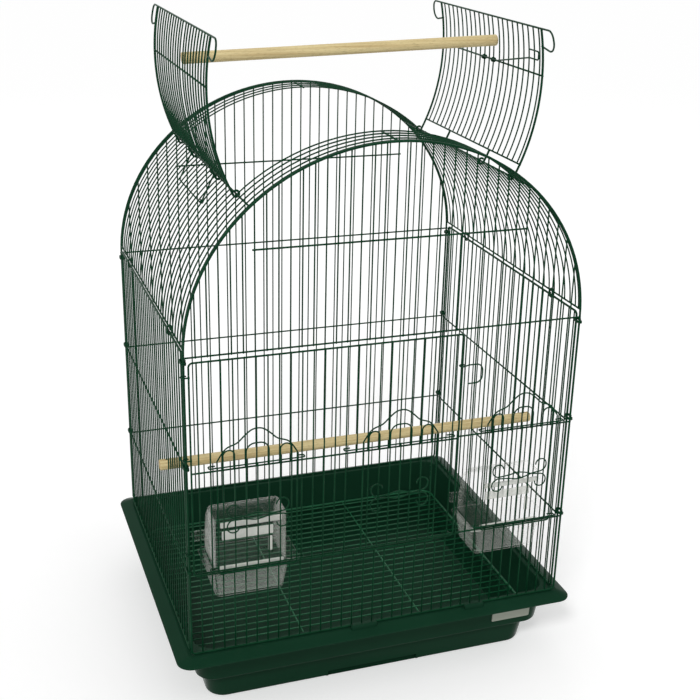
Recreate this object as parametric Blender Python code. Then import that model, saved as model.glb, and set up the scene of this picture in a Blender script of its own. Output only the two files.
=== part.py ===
"""Open-top bird cage: wire panels on a deep plastic base, with a barrel roof that opens.

Metres, +Z up. The origin is the centre of the base's underside, +X is to the right and
the front, with the doors, faces -Y. Each wire panel is one welded piece: its frame wire and
rails are four-sided and its thin wires three-sided, which keeps the meshes light.
"""

import math

import bmesh
import bpy
from mathutils import Matrix, Vector

# Cage body
CAGE_WIDTH = 0.457
CAGE_DEPTH = 0.381
FRONT_GAPS = 36
SIDE_GAPS = 30
RIM_Z = 0.084
LOW_RAIL_UP = 0.1035
MID_RAIL_UP = 0.2295
SPRING_UP = 0.3605
ARCH_RISE = 0.2125
ARCH_RAIL_UP = 0.4700
ARCH_RAIL_GAPS = 12
SIDE_TOP_UP = 0.3645
ROOF_FOOT_UP = 0.3700

# Wires, as half the size of their section
FRAME_HALF = 0.0012
RAIL_HALF = 0.00105
RIM_HALF = 0.0010
WIRE_RADIUS = 0.00095
BEND_RADIUS = 0.0045
LAYER_GAP = 0.0007
ROOF_FRAME_INSET = 0.0035
RAIL_OVERRUN = 0.0016
CLEARANCE = 0.0003
HOOK_CLEARANCE = 0.0006

# Base
BASE_WALL = 0.0025
SKIRT_OUT = 0.0180
SKIRT_DROP = 0.0060
SKIRT_EDGE = 0.0032
SKIRT_CORNER = 0.033
LAND_OUT = 0.0040
LAND_CORNER = 0.006
WALL_IN = 0.0045
WALL_DRAFT = 0.0050
STEP_DOWN = 0.0480
STEP_IN = 0.0100
PAN_DRAFT = 0.0050
PAN_CORNER = 0.022
TAB_SPANS = ((-0.040, -0.008), (0.105, 0.130))
TAB_THICK = 0.0060
TAB_RISE = 0.0040
RECESS_WIDTH = 0.115
RECESS_HEIGHT = 0.0075
RECESS_DEPTH = 0.0007
PLATE_WIDTH = 0.0508
PLATE_HEIGHT = 0.0190
PLATE_THICK = 0.0010
PLATE_FROM_SIDE = 0.0532
PLATE_DOWN = 0.0275
GRILLE_INSET = 0.0160
GRILLE_CROSS_GAPS = 6

# Roof opening and flaps
HINGE_X = 0.157
STRIP_GAPS = 4
FLAP_END_GAP = 0.0042
FLAP_LIFT = 0.0033
FLAP_LOW_IN = 0.010
FLAP_BEND_IN = 0.006
FLAP_QUARTER_X = 0.058
FLAP_TOP_X = 0.008
FLAP_OPEN = math.radians(76.0)
EAR_OUT = 0.012
EAR_LENGTH = 0.022
HINGE_ARM_GAPS = 4.5
BAIL_FRONT_GAPS = -2.5
BAIL_BACK_GAPS = 6.5
BAIL_DROP = 0.0385
BAIL_HANG = math.radians(64.0)
LATCH_EYE_GAPS = 1.18
LATCH_REACH_GAPS = 9.29
LATCH_RISE = 0.0165
LATCH_LOOP = 0.0090
LATCH_LOOP_LENGTH = 0.0210

# Perches
DOWEL_RADIUS = 0.00635
DOWEL_SIDES = 20
TOP_PERCH_LEFT_X = 0.0461
TOP_PERCH_RIGHT_X = 0.0352
TOP_PERCH_OVERHANG = 0.0078
TOP_PERCH_GAP = -2
LOW_PERCH_UP = 0.1850
LOW_PERCH_WIRE = 9
LOW_PERCH_OVERHANG = 0.0080
LOW_PERCH_SLOT = 0.0130

# Doors, placed by the front wires that they stand between
DOOR_EDGE_WIRE = 7
DOOR_EDGE_INSET = 0.0047
DOOR_HINGE_INSET = 0.0062
DOOR_TOP_DROP = 0.0045
DOOR_CORNER = 0.0080
DOOR_HINGE_UP = (0.0265, 0.1415, 0.2365)
FEEDER_DOOR_GAPS = 8
MIDDLE_DOOR_GAPS = 10
LEFT_DOOR_WIRE = -12
MIDDLE_DOOR_WIRE = 1
RIGHT_DOOR_WIRE = 13
SLIDE_RAIL_UP = 0.0046
GUIDE_GAP = 0.0024
DOOR_LATCH_EYE_OUT = 0.0080
GUIDE_LEG = 0.0050
OUTLINE_GAPS = 3.5
SHOULDER_UP = 0.0125
CROWN = ((0.0350, 0.0258), (0.0210, 0.0321), (0.0110, 0.0412), (0.0, 0.0460))
HAIRPINS = ((-3, -2, 0.0240), (-1, 1, 0.0290), (2, 3, 0.0240))
DOOR_LATCH_UP = 0.2150
DOOR_LATCH_DROP = 0.0225
DOOR_LATCH_REACH = 0.0250
SCROLL_SPAN = 0.0690
SCROLL_RISE = 0.0320
SCROLL_CURL = 0.0090
SCROLL_UP = 0.0675

# Feeders
FEEDER_WALL = 0.0016
LEFT_FEEDER_SHIFT = -0.0047
RIGHT_FEEDER_SHIFT = -0.0050
FEEDER_BACK = 0.0050
CUP_WIDTH = 0.0885
CUP_DEPTH = 0.0580
CUP_DROP = 0.0040
CUP_HEIGHT = 0.0370
CUP_DRAFT = 0.0045
CUP_CORNER = 0.0050
RIM_OUT = 0.0095
RIM_SHIFT = 0.0043
RIM_LAP = 0.0010
RIM_THICK = 0.0020
HOOD_WIDTH = 0.0820
HOOD_HEIGHT = 0.0655
HOOD_TOP_DEPTH = 0.0360
HOOD_WINDOW_WIDTH = 0.0560
HOOD_WINDOW_HEIGHT = 0.0380
PEG_RADIUS = 0.0060
PEG_LENGTH = 0.0150
PEG_UP = 0.0210
PEG_IN = 0.0100
LUG_WIDTH = 0.0070
LUG_THICK = 0.0012

# Clips
CLIP_ABOVE_RAIL = 0.0050
ROOF_CLIP_GAPS = 9.6

# What follows from the sizes above
HALF_W = CAGE_WIDTH / 2
HALF_D = CAGE_DEPTH / 2
LAYER = 2 * FRAME_HALF + LAYER_GAP
PITCH_X = CAGE_WIDTH / FRONT_GAPS
PITCH_Y = CAGE_DEPTH / SIDE_GAPS
LOW_Z = RIM_Z + LOW_RAIL_UP
MID_Z = RIM_Z + MID_RAIL_UP
SPRING_Z = RIM_Z + SPRING_UP
ARCH_RAIL_Z = RIM_Z + ARCH_RAIL_UP
SIDE_TOP_Z = RIM_Z + SIDE_TOP_UP
ROOF_FOOT_Z = RIM_Z + ROOF_FOOT_UP
LAND_Z = RIM_Z - CLEARANCE
WALL_TOP_Z = LAND_Z - 1.6 * BASE_WALL
FOOT_Z = RIM_Z + FRAME_HALF
FRONT_Y = -HALF_D
DOOR_Y = FRONT_Y - LAYER
DOOR_RIGHT = DOOR_EDGE_WIRE * PITCH_X - DOOR_EDGE_INSET
DOOR_LEFT = -HALF_W + DOOR_HINGE_INSET
DOOR_TOP = SPRING_Z - DOOR_TOP_DROP
OPENING_HALF = HALF_D - STRIP_GAPS * PITCH_Y
FLAP_HALF = OPENING_HALF - FLAP_END_GAP
FLAP_LOW_X = HINGE_X - FLAP_LOW_IN
LATCH_EYE_Y = LATCH_EYE_GAPS * PITCH_Y
FRAME_DIAGONAL = FRAME_HALF * math.sqrt(2)
RAIL_DIAGONAL = RAIL_HALF * math.sqrt(2)
PERCH_Y = (TOP_PERCH_GAP + 0.5) * PITCH_Y
PERCH_SQUEEZE = DOWEL_RADIUS + 1.5 * CLEARANCE + WIRE_RADIUS - PITCH_Y / 2
LOW_PERCH_Y = FRONT_Y + LOW_PERCH_WIRE * PITCH_Y
LEDGE_Z = RIM_Z - STEP_DOWN + BASE_WALL
CLIP_RADIUS = (FRAME_DIAGONAL + CLEARANCE + WIRE_RADIUS) / math.cos(math.pi / 8)
SIDE_FRAME_INSET = PITCH_Y - CLIP_RADIUS - 2 * WIRE_RADIUS - CLEARANCE
EYE_RADIUS = RAIL_DIAGONAL + HOOK_CLEARANCE + WIRE_RADIUS
POST_EYE_RADIUS = FRAME_DIAGONAL + HOOK_CLEARANCE + WIRE_RADIUS
FEEDER_Y = FRONT_Y + FEEDER_BACK
CUP_TOP = LOW_Z - CUP_DROP
HOOD_Z = CUP_TOP + CLEARANCE

# Colour, roughness and opacity of each finish
FINISHES = {
    "wire": ((0.012, 0.055, 0.032), 0.35, 1.0),
    "base": ((0.010, 0.045, 0.028), 0.30, 1.0),
    "clear": ((0.80, 0.86, 0.85), 0.08, 0.35),
    "wood": ((0.80, 0.62, 0.36), 0.60, 1.0),
    "plate": ((0.45, 0.48, 0.47), 0.30, 1.0),
}
MODELLED_AT = {}


def clear_scene():
    for item in list(bpy.data.objects):
        bpy.data.objects.remove(item, do_unlink=True)


def collection(name):
    group = bpy.data.collections.get(name) or bpy.data.collections.new(name)
    if group.name not in bpy.context.scene.collection.children:
        bpy.context.scene.collection.children.link(group)
    return group


def material(name, finish):
    colour, roughness, opacity = FINISHES[finish]
    surface = bpy.data.materials.new(f"{name}_{finish}")
    surface.use_nodes = True
    shader = surface.node_tree.nodes["Principled BSDF"]
    shader.inputs["Base Color"].default_value = (*colour, 1.0)
    shader.inputs["Roughness"].default_value = roughness
    shader.inputs["Alpha"].default_value = opacity
    return surface


def rounded(points, radius=BEND_RADIUS, steps=2, closed=False):
    """The same path with each corner bent to a radius, as a bent wire has."""
    points = [Vector(point) for point in points]
    path = []
    count = len(points)
    for index, point in enumerate(points):
        if not closed and index in (0, count - 1):
            path.append(point)
            continue
        before = (points[index - 1] - point).normalized()
        after = (points[(index + 1) % count] - point).normalized()
        half_angle = before.angle(after) / 2
        reach = radius / math.tan(half_angle)
        centre = point + (before + after).normalized() * radius / math.sin(half_angle)
        start = (point + before * reach - centre).normalized()
        end = (point + after * reach - centre).normalized()
        for step in range(steps + 1):
            path.append(centre + radius * start.slerp(end, step / steps))
    return path


def triangle_profile():
    """The three-sided section that every thin wire is swept with."""
    name = "wire_section"
    if name not in bpy.data.objects:
        curve = bpy.data.curves.new(name, "CURVE")
        spline = curve.splines.new("POLY")
        spline.points.add(2)
        for index in range(3):
            angle = math.pi / 2 - index * 2 * math.pi / 3
            spline.points[index].co = (
                WIRE_RADIUS * math.cos(angle), WIRE_RADIUS * math.sin(angle), 0.0, 1.0)
        spline.use_cyclic_u = True
        guide = bpy.data.objects.new(name, curve)
        guide.hide_render = True
        guide.display_type = "WIRE"
        collection("cutters").objects.link(guide)
    return bpy.data.objects[name]


def wire_mesh(name, paths, half=None, closed=False):
    """Sweep each path: with a square bar of this half size, or with the thin wire's section."""
    curve = bpy.data.curves.new(name, "CURVE")
    curve.dimensions = "3D"
    curve.use_fill_caps = True
    if half is None:
        curve.bevel_mode = "OBJECT"
        curve.bevel_object = triangle_profile()
    else:
        curve.bevel_depth = half * math.sqrt(2)
        curve.bevel_resolution = 0
    for path in paths:
        spline = curve.splines.new("POLY")
        spline.points.add(len(path) - 1)
        for point, place in zip(spline.points, path):
            point.co = (*place, 1.0)
            point.tilt = math.pi / 4
        spline.use_cyclic_u = closed
    rod = bpy.data.objects.new(name, curve)
    bpy.context.scene.collection.objects.link(rod)
    bpy.context.view_layer.update()
    mesh = bpy.data.meshes.new_from_object(rod.evaluated_get(bpy.context.evaluated_depsgraph_get()))
    bpy.data.objects.remove(rod, do_unlink=True)
    return tidy_mesh(name, mesh)


def tidy_mesh(name, mesh):
    shape = bmesh.new()
    shape.from_mesh(mesh)
    bmesh.ops.remove_doubles(shape, verts=shape.verts, dist=0.00001)
    bmesh.ops.recalc_face_normals(shape, faces=shape.faces)
    shape.to_mesh(mesh)
    shape.free()
    mesh.name = name
    return mesh


def part(name, mesh, finish="wire", origin=(0.0, 0.0, 0.0), turn=0.0, about=None):
    """An object whose mesh is given in the cage's frame and whose origin is put on its joint.

    A piece of the flaps is modelled with the flaps shut. turn is the angle about the Y line
    through about, or else through its origin, from there to the open flap it rests in.
    """
    origin = Vector(origin)
    about = Vector(about) if about is not None else origin
    mesh.transform(Matrix.Translation(-origin))
    item = bpy.data.objects.new(name, mesh)
    item.location = about + Matrix.Rotation(turn, 3, "Y") @ (origin - about)
    item.rotation_euler = (0.0, turn, 0.0)
    item.data.materials.clear()
    item.data.materials.append(material(name, finish))
    MODELLED_AT[name] = origin
    collection("open_top_bird_cage").objects.link(item)
    return item


def helper(item, name, mesh):
    """A hidden mesh in the cage's frame that a Boolean on item reads."""
    mesh.transform(Matrix.Translation(-MODELLED_AT[item.name]))
    tool = bpy.data.objects.new(f"{item.name}_{name}", mesh)
    tool.location = item.location
    tool.rotation_euler = item.rotation_euler
    tool.hide_render = True
    tool.display_type = "WIRE"
    collection("cutters").objects.link(tool)
    return tool


def boolean(item, name, mesh, operation):
    change = item.modifiers.new(name, "BOOLEAN")
    change.operation = operation
    change.solver = "EXACT"
    change.object = helper(item, name, mesh)


def weld(item, name, mesh):
    boolean(item, name, mesh, "UNION")


def cut(item, name, mesh):
    boolean(item, name, mesh, "DIFFERENCE")


def box_mesh(name, low, high):
    shape = bmesh.new()
    low, high = Vector(low), Vector(high)
    size = high - low
    place = Matrix.Translation((low + high) / 2) @ Matrix.Diagonal((*size, 1.0))
    bmesh.ops.create_cube(shape, size=1.0, matrix=place)
    mesh = bpy.data.meshes.new(name)
    shape.to_mesh(mesh)
    shape.free()
    return mesh


def rod_mesh(name, start, end, radius, sides):
    """A plain round bar between two points."""
    start, end = Vector(start), Vector(end)
    turn = (end - start).to_track_quat("Z", "Y").to_matrix().to_4x4()
    shape = bmesh.new()
    bmesh.ops.create_cone(
        shape, cap_ends=True, segments=sides, radius1=radius, radius2=radius,
        depth=(end - start).length, matrix=Matrix.Translation((start + end) / 2) @ turn)
    mesh = bpy.data.meshes.new(name)
    shape.to_mesh(mesh)
    shape.free()
    return mesh


def corner_loop(half_x, half_y, z, radius, centre=(0.0, 0.0), steps=5):
    """A rectangle with round corners, as points in order."""
    points = []
    for quarter in range(4):
        sign_x = (1, -1, -1, 1)[quarter]
        sign_y = (1, 1, -1, -1)[quarter]
        for step in range(steps + 1):
            angle = (quarter + step / steps) * math.pi / 2
            points.append((
                centre[0] + sign_x * (half_x - radius) + radius * math.cos(angle),
                centre[1] + sign_y * (half_y - radius) + radius * math.sin(angle), z))
    return points


def loft_mesh(name, loops):
    """Closed body through loops of equal length; its first and last loops are capped."""
    shape = bmesh.new()
    rings = [[shape.verts.new(point) for point in loop] for loop in loops]
    for lower, upper in zip(rings, rings[1:]):
        for index in range(len(lower)):
            following = (index + 1) % len(lower)
            shape.faces.new((lower[index], lower[following], upper[following], upper[index]))
    shape.faces.new(list(reversed(rings[0])))
    shape.faces.new(rings[-1])
    bmesh.ops.recalc_face_normals(shape, faces=shape.faces)
    mesh = bpy.data.meshes.new(name)
    shape.to_mesh(mesh)
    shape.free()
    return mesh


def roof_point(angle, y, lift=0.0):
    """A point of the barrel roof's ellipse; the angle runs from the right over the top."""
    return Vector((
        (HALF_W + lift) * math.cos(angle), y, SPRING_Z + (ARCH_RISE + lift) * math.sin(angle)))


def roof_angle(x, lift=0.0):
    return math.acos(x / (HALF_W + lift))


def foot_angle():
    """Where the roof panel starts above the side panels."""
    return math.asin((ROOF_FOOT_Z - SPRING_Z) / ARCH_RISE)


def roof_arc(start, end, y, steps, lift=0.0):
    return [roof_point(start + (end - start) * step / steps, y, lift) for step in range(steps + 1)]


def hook(centre, start_angle, sweep, radius, plane, steps=6):
    """Points round a centre, in the plane of two unit vectors, for an eye bent in a wire's end."""
    centre = Vector(centre)
    across, along = Vector(plane[0]), Vector(plane[1])
    points = []
    for step in range(steps + 1):
        angle = start_angle + sweep * step / steps
        points.append(centre + radius * (math.cos(angle) * across + math.sin(angle) * along))
    return points


def end_frame(y):
    """The frame wire of a front or back panel: up both corners and over the arch."""
    arch = roof_arc(math.pi, 0.0, y, 22)
    foot = rounded([arch[-1], (HALF_W, y, FOOT_Z), (-HALF_W, y, FOOT_Z), arch[0]])
    return arch + foot[1:-1]


def long_rail(y, z, left=-HALF_W, right=HALF_W):
    return [(left, y, z), (right, y, z)]


def front_panel():
    """Fixed front: low band, right-hand strip with the feeder opening, and the arch."""
    y = FRONT_Y
    item = part("front_panel", wire_mesh("front_frame", [end_frame(y)], FRAME_HALF, True))
    rails = [
        long_rail(y, LOW_Z),
        long_rail(y, SPRING_Z),
        long_rail(y, MID_Z, DOOR_EDGE_WIRE * PITCH_X - 2 * WIRE_RADIUS),
        long_rail(y, ARCH_RAIL_Z, -ARCH_RAIL_GAPS * PITCH_X - 2 * WIRE_RADIUS,
                  ARCH_RAIL_GAPS * PITCH_X + 2 * WIRE_RADIUS),
    ]
    weld(item, "rails", wire_mesh("front_rails", rails, RAIL_HALF))
    wires = []
    feeder_low = RIGHT_DOOR_WIRE - FEEDER_DOOR_GAPS // 2
    feeder_high = RIGHT_DOOR_WIRE + FEEDER_DOOR_GAPS // 2
    for count in range(1 - FRONT_GAPS // 2, FRONT_GAPS // 2):
        x = count * PITCH_X
        top = roof_point(roof_angle(x), y).z
        breaks = [FOOT_Z, top]
        if count < DOOR_EDGE_WIRE:
            breaks = [FOOT_Z, LOW_Z, SPRING_Z, top]
        elif feeder_low < count < feeder_high:
            breaks = [FOOT_Z, LOW_Z, MID_Z, top]
        for low, high in zip(breaks[::2], breaks[1::2]):
            wires.append([(x, y, low), (x, y, high)])
    weld(item, "wires", wire_mesh("front_wires", wires))
    return item


def back_panel():
    y = HALF_D
    item = part("back_panel", wire_mesh("back_frame", [end_frame(y)], FRAME_HALF, True))
    rails = [long_rail(y, z) for z in (LOW_Z, MID_Z, SPRING_Z)]
    rails.append(long_rail(y, ARCH_RAIL_Z, -ARCH_RAIL_GAPS * PITCH_X - 2 * WIRE_RADIUS,
                           ARCH_RAIL_GAPS * PITCH_X + 2 * WIRE_RADIUS))
    weld(item, "rails", wire_mesh("back_rails", rails, RAIL_HALF))
    wires = []
    for count in range(1 - FRONT_GAPS // 2, FRONT_GAPS // 2):
        x = count * PITCH_X
        wires.append([(x, y, FOOT_Z), (x, y, roof_point(roof_angle(x), y).z)])
    weld(item, "wires", wire_mesh("back_wires", wires))
    return item


def side_panel(name, side):
    """Flat side wall; side is -1 for the left and 1 for the right."""
    x = side * HALF_W
    end = HALF_D - SIDE_FRAME_INSET
    outline = rounded(
        [(x, -end, FOOT_Z), (x, end, FOOT_Z), (x, end, SIDE_TOP_Z), (x, -end, SIDE_TOP_Z)], closed=True)
    item = part(name, wire_mesh(f"{name}_frame", [outline], FRAME_HALF, True))
    rails = [[(x, -end, z), (x, end, z)] for z in (LOW_Z, MID_Z)]
    weld(item, "rails", wire_mesh(f"{name}_rails", rails, RAIL_HALF))
    wires = []
    for count in range(1, SIDE_GAPS):
        y = FRONT_Y + count * PITCH_Y
        wires.append([(x, y, FOOT_Z), (x, y, SIDE_TOP_Z)])
    weld(item, "wires", wire_mesh(f"{name}_wires", wires))
    return item


def roof_panel():
    """Barrel sheet with a cut-out between its hinge rails, closed by the two flaps."""
    end = HALF_D - ROOF_FRAME_INSET
    first, last = foot_angle(), math.pi - foot_angle()
    hinge = roof_angle(HINGE_X)
    borders = [roof_arc(first, last, y, 14) for y in (-end, end)]
    item = part("roof_panel", wire_mesh("roof_frame", borders, FRAME_HALF))
    rails = []
    for angle in (first, last, hinge, math.pi - hinge):
        rails.append([roof_point(angle, -end - RAIL_OVERRUN), roof_point(angle, end + RAIL_OVERRUN)])
    for side in (-1, 1):
        rails.append([
            roof_point(math.pi / 2, side * (end + RAIL_OVERRUN)),
            roof_point(math.pi / 2, side * (OPENING_HALF - 2 * WIRE_RADIUS))])
    weld(item, "rails", wire_mesh("roof_rails", rails, RAIL_HALF))
    arcs = []
    for count in range(1, SIDE_GAPS):
        y = FRONT_Y + count * PITCH_Y
        if STRIP_GAPS < count < SIDE_GAPS - STRIP_GAPS:
            arcs.append(roof_arc(first, hinge, y, 3))
            arcs.append(roof_arc(math.pi - hinge, last, y, 3))
        else:
            arcs.append(roof_arc(first, last, y, 14))
    weld(item, "wires", wire_mesh("roof_wires", arcs))
    return item


def flap_wire_places():
    """Y of each flap wire; the two beside the perch are sprung apart by it."""
    places = []
    wires = math.floor(FLAP_HALF / PITCH_Y - 0.3)
    for count in range(-wires, wires + 1):
        spread = {TOP_PERCH_GAP: -PERCH_SQUEEZE, TOP_PERCH_GAP + 1: PERCH_SQUEEZE}
        places.append(count * PITCH_Y + spread.get(count, 0.0))
    return places


def hinge_point(side):
    return roof_point(roof_angle(side * HINGE_X), 0.0)


def open_flap_point(side, x):
    """Where the point of a flap that is at x when it is shut stands when the flap is open."""
    pivot = hinge_point(side)
    shut = roof_point(roof_angle(side * x, FLAP_LIFT), 0.0, FLAP_LIFT)
    opened = pivot + Matrix.Rotation(side * FLAP_OPEN, 3, "Y") @ (shut - pivot)
    return opened + Vector((0.0, PERCH_Y, 0.0))


def flap_arc(side, low_x, top_x, y, steps):
    low = roof_angle(side * low_x, FLAP_LIFT)
    top = roof_angle(side * top_x, FLAP_LIFT)
    return roof_arc(low, top, y, steps, FLAP_LIFT)


def surface_directions(angle, lift=0.0):
    """Straight out of the roof, and along it towards the right-hand side."""
    normal = Vector((math.cos(angle) / (HALF_W + lift), 0.0, math.sin(angle) / (ARCH_RISE + lift)))
    normal.normalize()
    return normal, Vector((normal.z, 0.0, -normal.x))


def flap_arm(side, y, top_x, steps):
    """A wire that is bent round the hinge rail and then runs up the flap."""
    centre = hinge_point(side)
    centre.y = y
    normal, rightward = surface_directions(roof_angle(side * HINGE_X))
    plane = (normal, rightward * side)
    eye = hook(centre, math.radians(285), -math.radians(285), FLAP_LIFT, plane, 8)
    return eye + flap_arc(side, HINGE_X - FLAP_BEND_IN, top_x, y, steps)


def flap(name, side):
    """Curved roof flap, modelled shut and turned open about its hinge rail."""
    arms = [flap_arm(side, y, FLAP_TOP_X, 4) for y in (-FLAP_HALF, FLAP_HALF)]
    arms += [flap_arm(side, gaps * PITCH_Y, FLAP_LOW_X, 1) for gaps in (-HINGE_ARM_GAPS, HINGE_ARM_GAPS)]
    frame = wire_mesh(f"{name}_frame", arms, FRAME_HALF)
    item = part(name, frame, "wire", hinge_point(side), side * FLAP_OPEN)
    low, quarter, top = (
        roof_angle(side * x, FLAP_LIFT) for x in (FLAP_LOW_X, FLAP_QUARTER_X, FLAP_TOP_X))
    rails = []
    for angle in (low, quarter):
        rails.append([
            roof_point(angle, side_y * (FLAP_HALF + RAIL_OVERRUN), FLAP_LIFT) for side_y in (-1, 1)])
    ear = roof_angle(side * (FLAP_TOP_X + EAR_LENGTH), FLAP_LIFT)
    ear_mid = (ear + top) / 2
    out = FLAP_HALF + EAR_OUT
    weld(item, "rails", wire_mesh(f"{name}_rails", rails, RAIL_HALF))
    rim = rounded([
        roof_point(ear, RAIL_OVERRUN - FLAP_HALF, FLAP_LIFT),
        roof_point(ear_mid, -out, FLAP_LIFT),
        roof_point(top, -out, FLAP_LIFT),
        roof_point(top, out, FLAP_LIFT),
        roof_point(ear_mid, out, FLAP_LIFT),
        roof_point(ear, FLAP_HALF - RAIL_OVERRUN, FLAP_LIFT)], 0.004)
    weld(item, "rim", wire_mesh(f"{name}_rim", [rim], RIM_HALF))
    arcs = [flap_arc(side, FLAP_LOW_X, FLAP_TOP_X, y, 3) for y in flap_wire_places()]
    weld(item, "wires", wire_mesh(f"{name}_wires", arcs))
    return item


def roof_bail():
    """U-shaped bail that hangs from the left hinge rail, inside the roof."""
    centre = hinge_point(-1)
    down = Vector((-math.cos(BAIL_HANG), 0.0, -math.sin(BAIL_HANG)))
    inward = Vector((math.sin(BAIL_HANG), 0.0, -math.cos(BAIL_HANG)))
    eyes = []
    for gaps in (BAIL_FRONT_GAPS, BAIL_BACK_GAPS):
        spot = Vector((centre.x, gaps * PITCH_Y, centre.z))
        eyes.append(hook(spot, math.radians(-300), math.radians(300), EYE_RADIUS, (inward, down)))
    feet = [eye[-1] + down * BAIL_DROP for eye in eyes]
    path = eyes[0] + rounded([eyes[0][-1], *feet, eyes[1][-1]])[1:-1] + eyes[1][::-1]
    return part("roof_bail", wire_mesh("roof_bail", [path]), "wire", centre)


def roof_latch():
    """Wire lever hung inside the right flap on its quarter rail."""
    angle = roof_angle(FLAP_QUARTER_X, FLAP_LIFT)
    centre = roof_point(angle, 0.0, FLAP_LIFT)
    normal, rightward = surface_directions(angle, FLAP_LIFT)
    inside, upward = -normal, -rightward
    radius = EYE_RADIUS + CLEARANCE

    def spot(y, deep, up):
        return centre + Vector((0.0, y, 0.0)) + inside * deep + upward * up

    eyes = []
    for y in (LATCH_EYE_Y, -LATCH_EYE_Y):
        middle = centre + Vector((0.0, y, 0.0))
        eyes.append(hook(middle, math.radians(-300), math.radians(300), radius, (inside, upward), 8))
    rise = 0.0015
    tip_y = -LATCH_EYE_Y - LATCH_REACH_GAPS * PITCH_Y
    deep = radius + rise
    lever = [
        spot(LATCH_EYE_Y - 0.003, radius, rise),
        spot(-2 * LATCH_EYE_Y, radius, rise),
        spot(tip_y + LATCH_LOOP_LENGTH, deep, LATCH_RISE),
        spot(tip_y, deep, LATCH_RISE),
        spot(tip_y, deep, LATCH_RISE + LATCH_LOOP),
        spot(tip_y + LATCH_LOOP_LENGTH, deep, LATCH_RISE + LATCH_LOOP)]
    path = eyes[0] + lever[:2] + rounded([lever[1], *lever[2:]], 0.0022)[1:]
    item = part(
        "roof_latch", wire_mesh("roof_latch", [path]), "wire", centre, FLAP_OPEN, hinge_point(1))
    second = eyes[1] + [eyes[1][-1] + upward * 2 * rise]
    weld(item, "second_eye", wire_mesh("second_eye", [second]))
    return item


def main_door():
    """Large door laid over the front, with openings for the two small doors that slide on it."""
    corners = [
        (DOOR_LEFT, DOOR_Y, LOW_Z), (DOOR_RIGHT, DOOR_Y, LOW_Z),
        (DOOR_RIGHT, DOOR_Y, DOOR_TOP), (DOOR_LEFT, DOOR_Y, DOOR_TOP)]
    outline = rounded(corners, DOOR_CORNER, closed=True)
    item = part(
        "main_door", wire_mesh("door_frame", [outline], FRAME_HALF, True), "wire",
        (-HALF_W, FRONT_Y, LOW_Z))
    rails = [long_rail(DOOR_Y, MID_Z, DOOR_LEFT, DOOR_RIGHT)]
    weld(item, "rails", wire_mesh("door_rails", rails, RAIL_HALF))
    wires = []
    for count in range(1 - FRONT_GAPS // 2, DOOR_EDGE_WIRE):
        x = count * PITCH_X
        beside_left = abs(count - LEFT_DOOR_WIRE) >= FEEDER_DOOR_GAPS // 2
        beside_middle = abs(count - MIDDLE_DOOR_WIRE) >= MIDDLE_DOOR_GAPS // 2
        low = LOW_Z if beside_left and beside_middle else MID_Z
        wires.append([(x, DOOR_Y, low), (x, DOOR_Y, DOOR_TOP)])
    for up in DOOR_HINGE_UP:
        post = Vector((-HALF_W, FRONT_Y, LOW_Z + up))
        eye = hook(
            post, -math.pi / 2, math.radians(-235), POST_EYE_RADIUS,
            ((1.0, 0.0, 0.0), (0.0, 1.0, 0.0)))
        wires.append([Vector((DOOR_LEFT, DOOR_Y, LOW_Z + up))] + eye)
    weld(item, "wires", wire_mesh("door_wires", wires))
    return item


def main_door_latch():
    """Catch that swings on the main door's right-hand edge wire, across the fixed wires."""
    z = LOW_Z + DOOR_LATCH_UP
    edge = Vector((DOOR_RIGHT, DOOR_Y, z))
    eye = hook(
        edge, math.radians(-30), math.radians(300), POST_EYE_RADIUS,
        ((1.0, 0.0, 0.0), (0.0, 1.0, 0.0)))
    reach = DOOR_RIGHT + DOOR_LATCH_REACH
    low = z - DOOR_LATCH_DROP
    loop = rounded([
        (DOOR_RIGHT + DOOR_LATCH_EYE_OUT, DOOR_Y, z), (reach, DOOR_Y, z), (reach, DOOR_Y, low),
        (DOOR_RIGHT + DOOR_LATCH_EYE_OUT, DOOR_Y, low)], DOOR_LATCH_EYE_OUT, 3)
    return part("main_door_latch", wire_mesh("main_door_latch", [eye + loop]), "wire", edge)


def slide_rail(left, right, guide_y, door_y, z):
    """A rail whose ends are bent back round the two guide wires."""
    back = guide_y + GUIDE_GAP
    left, right = left - GUIDE_GAP, right + GUIDE_GAP
    return rounded([
        (left + GUIDE_GAP + GUIDE_LEG, back, z), (left, back, z), (left, door_y, z),
        (right, door_y, z), (right, back, z), (right - GUIDE_GAP - GUIDE_LEG, back, z)], 0.0014)


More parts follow.
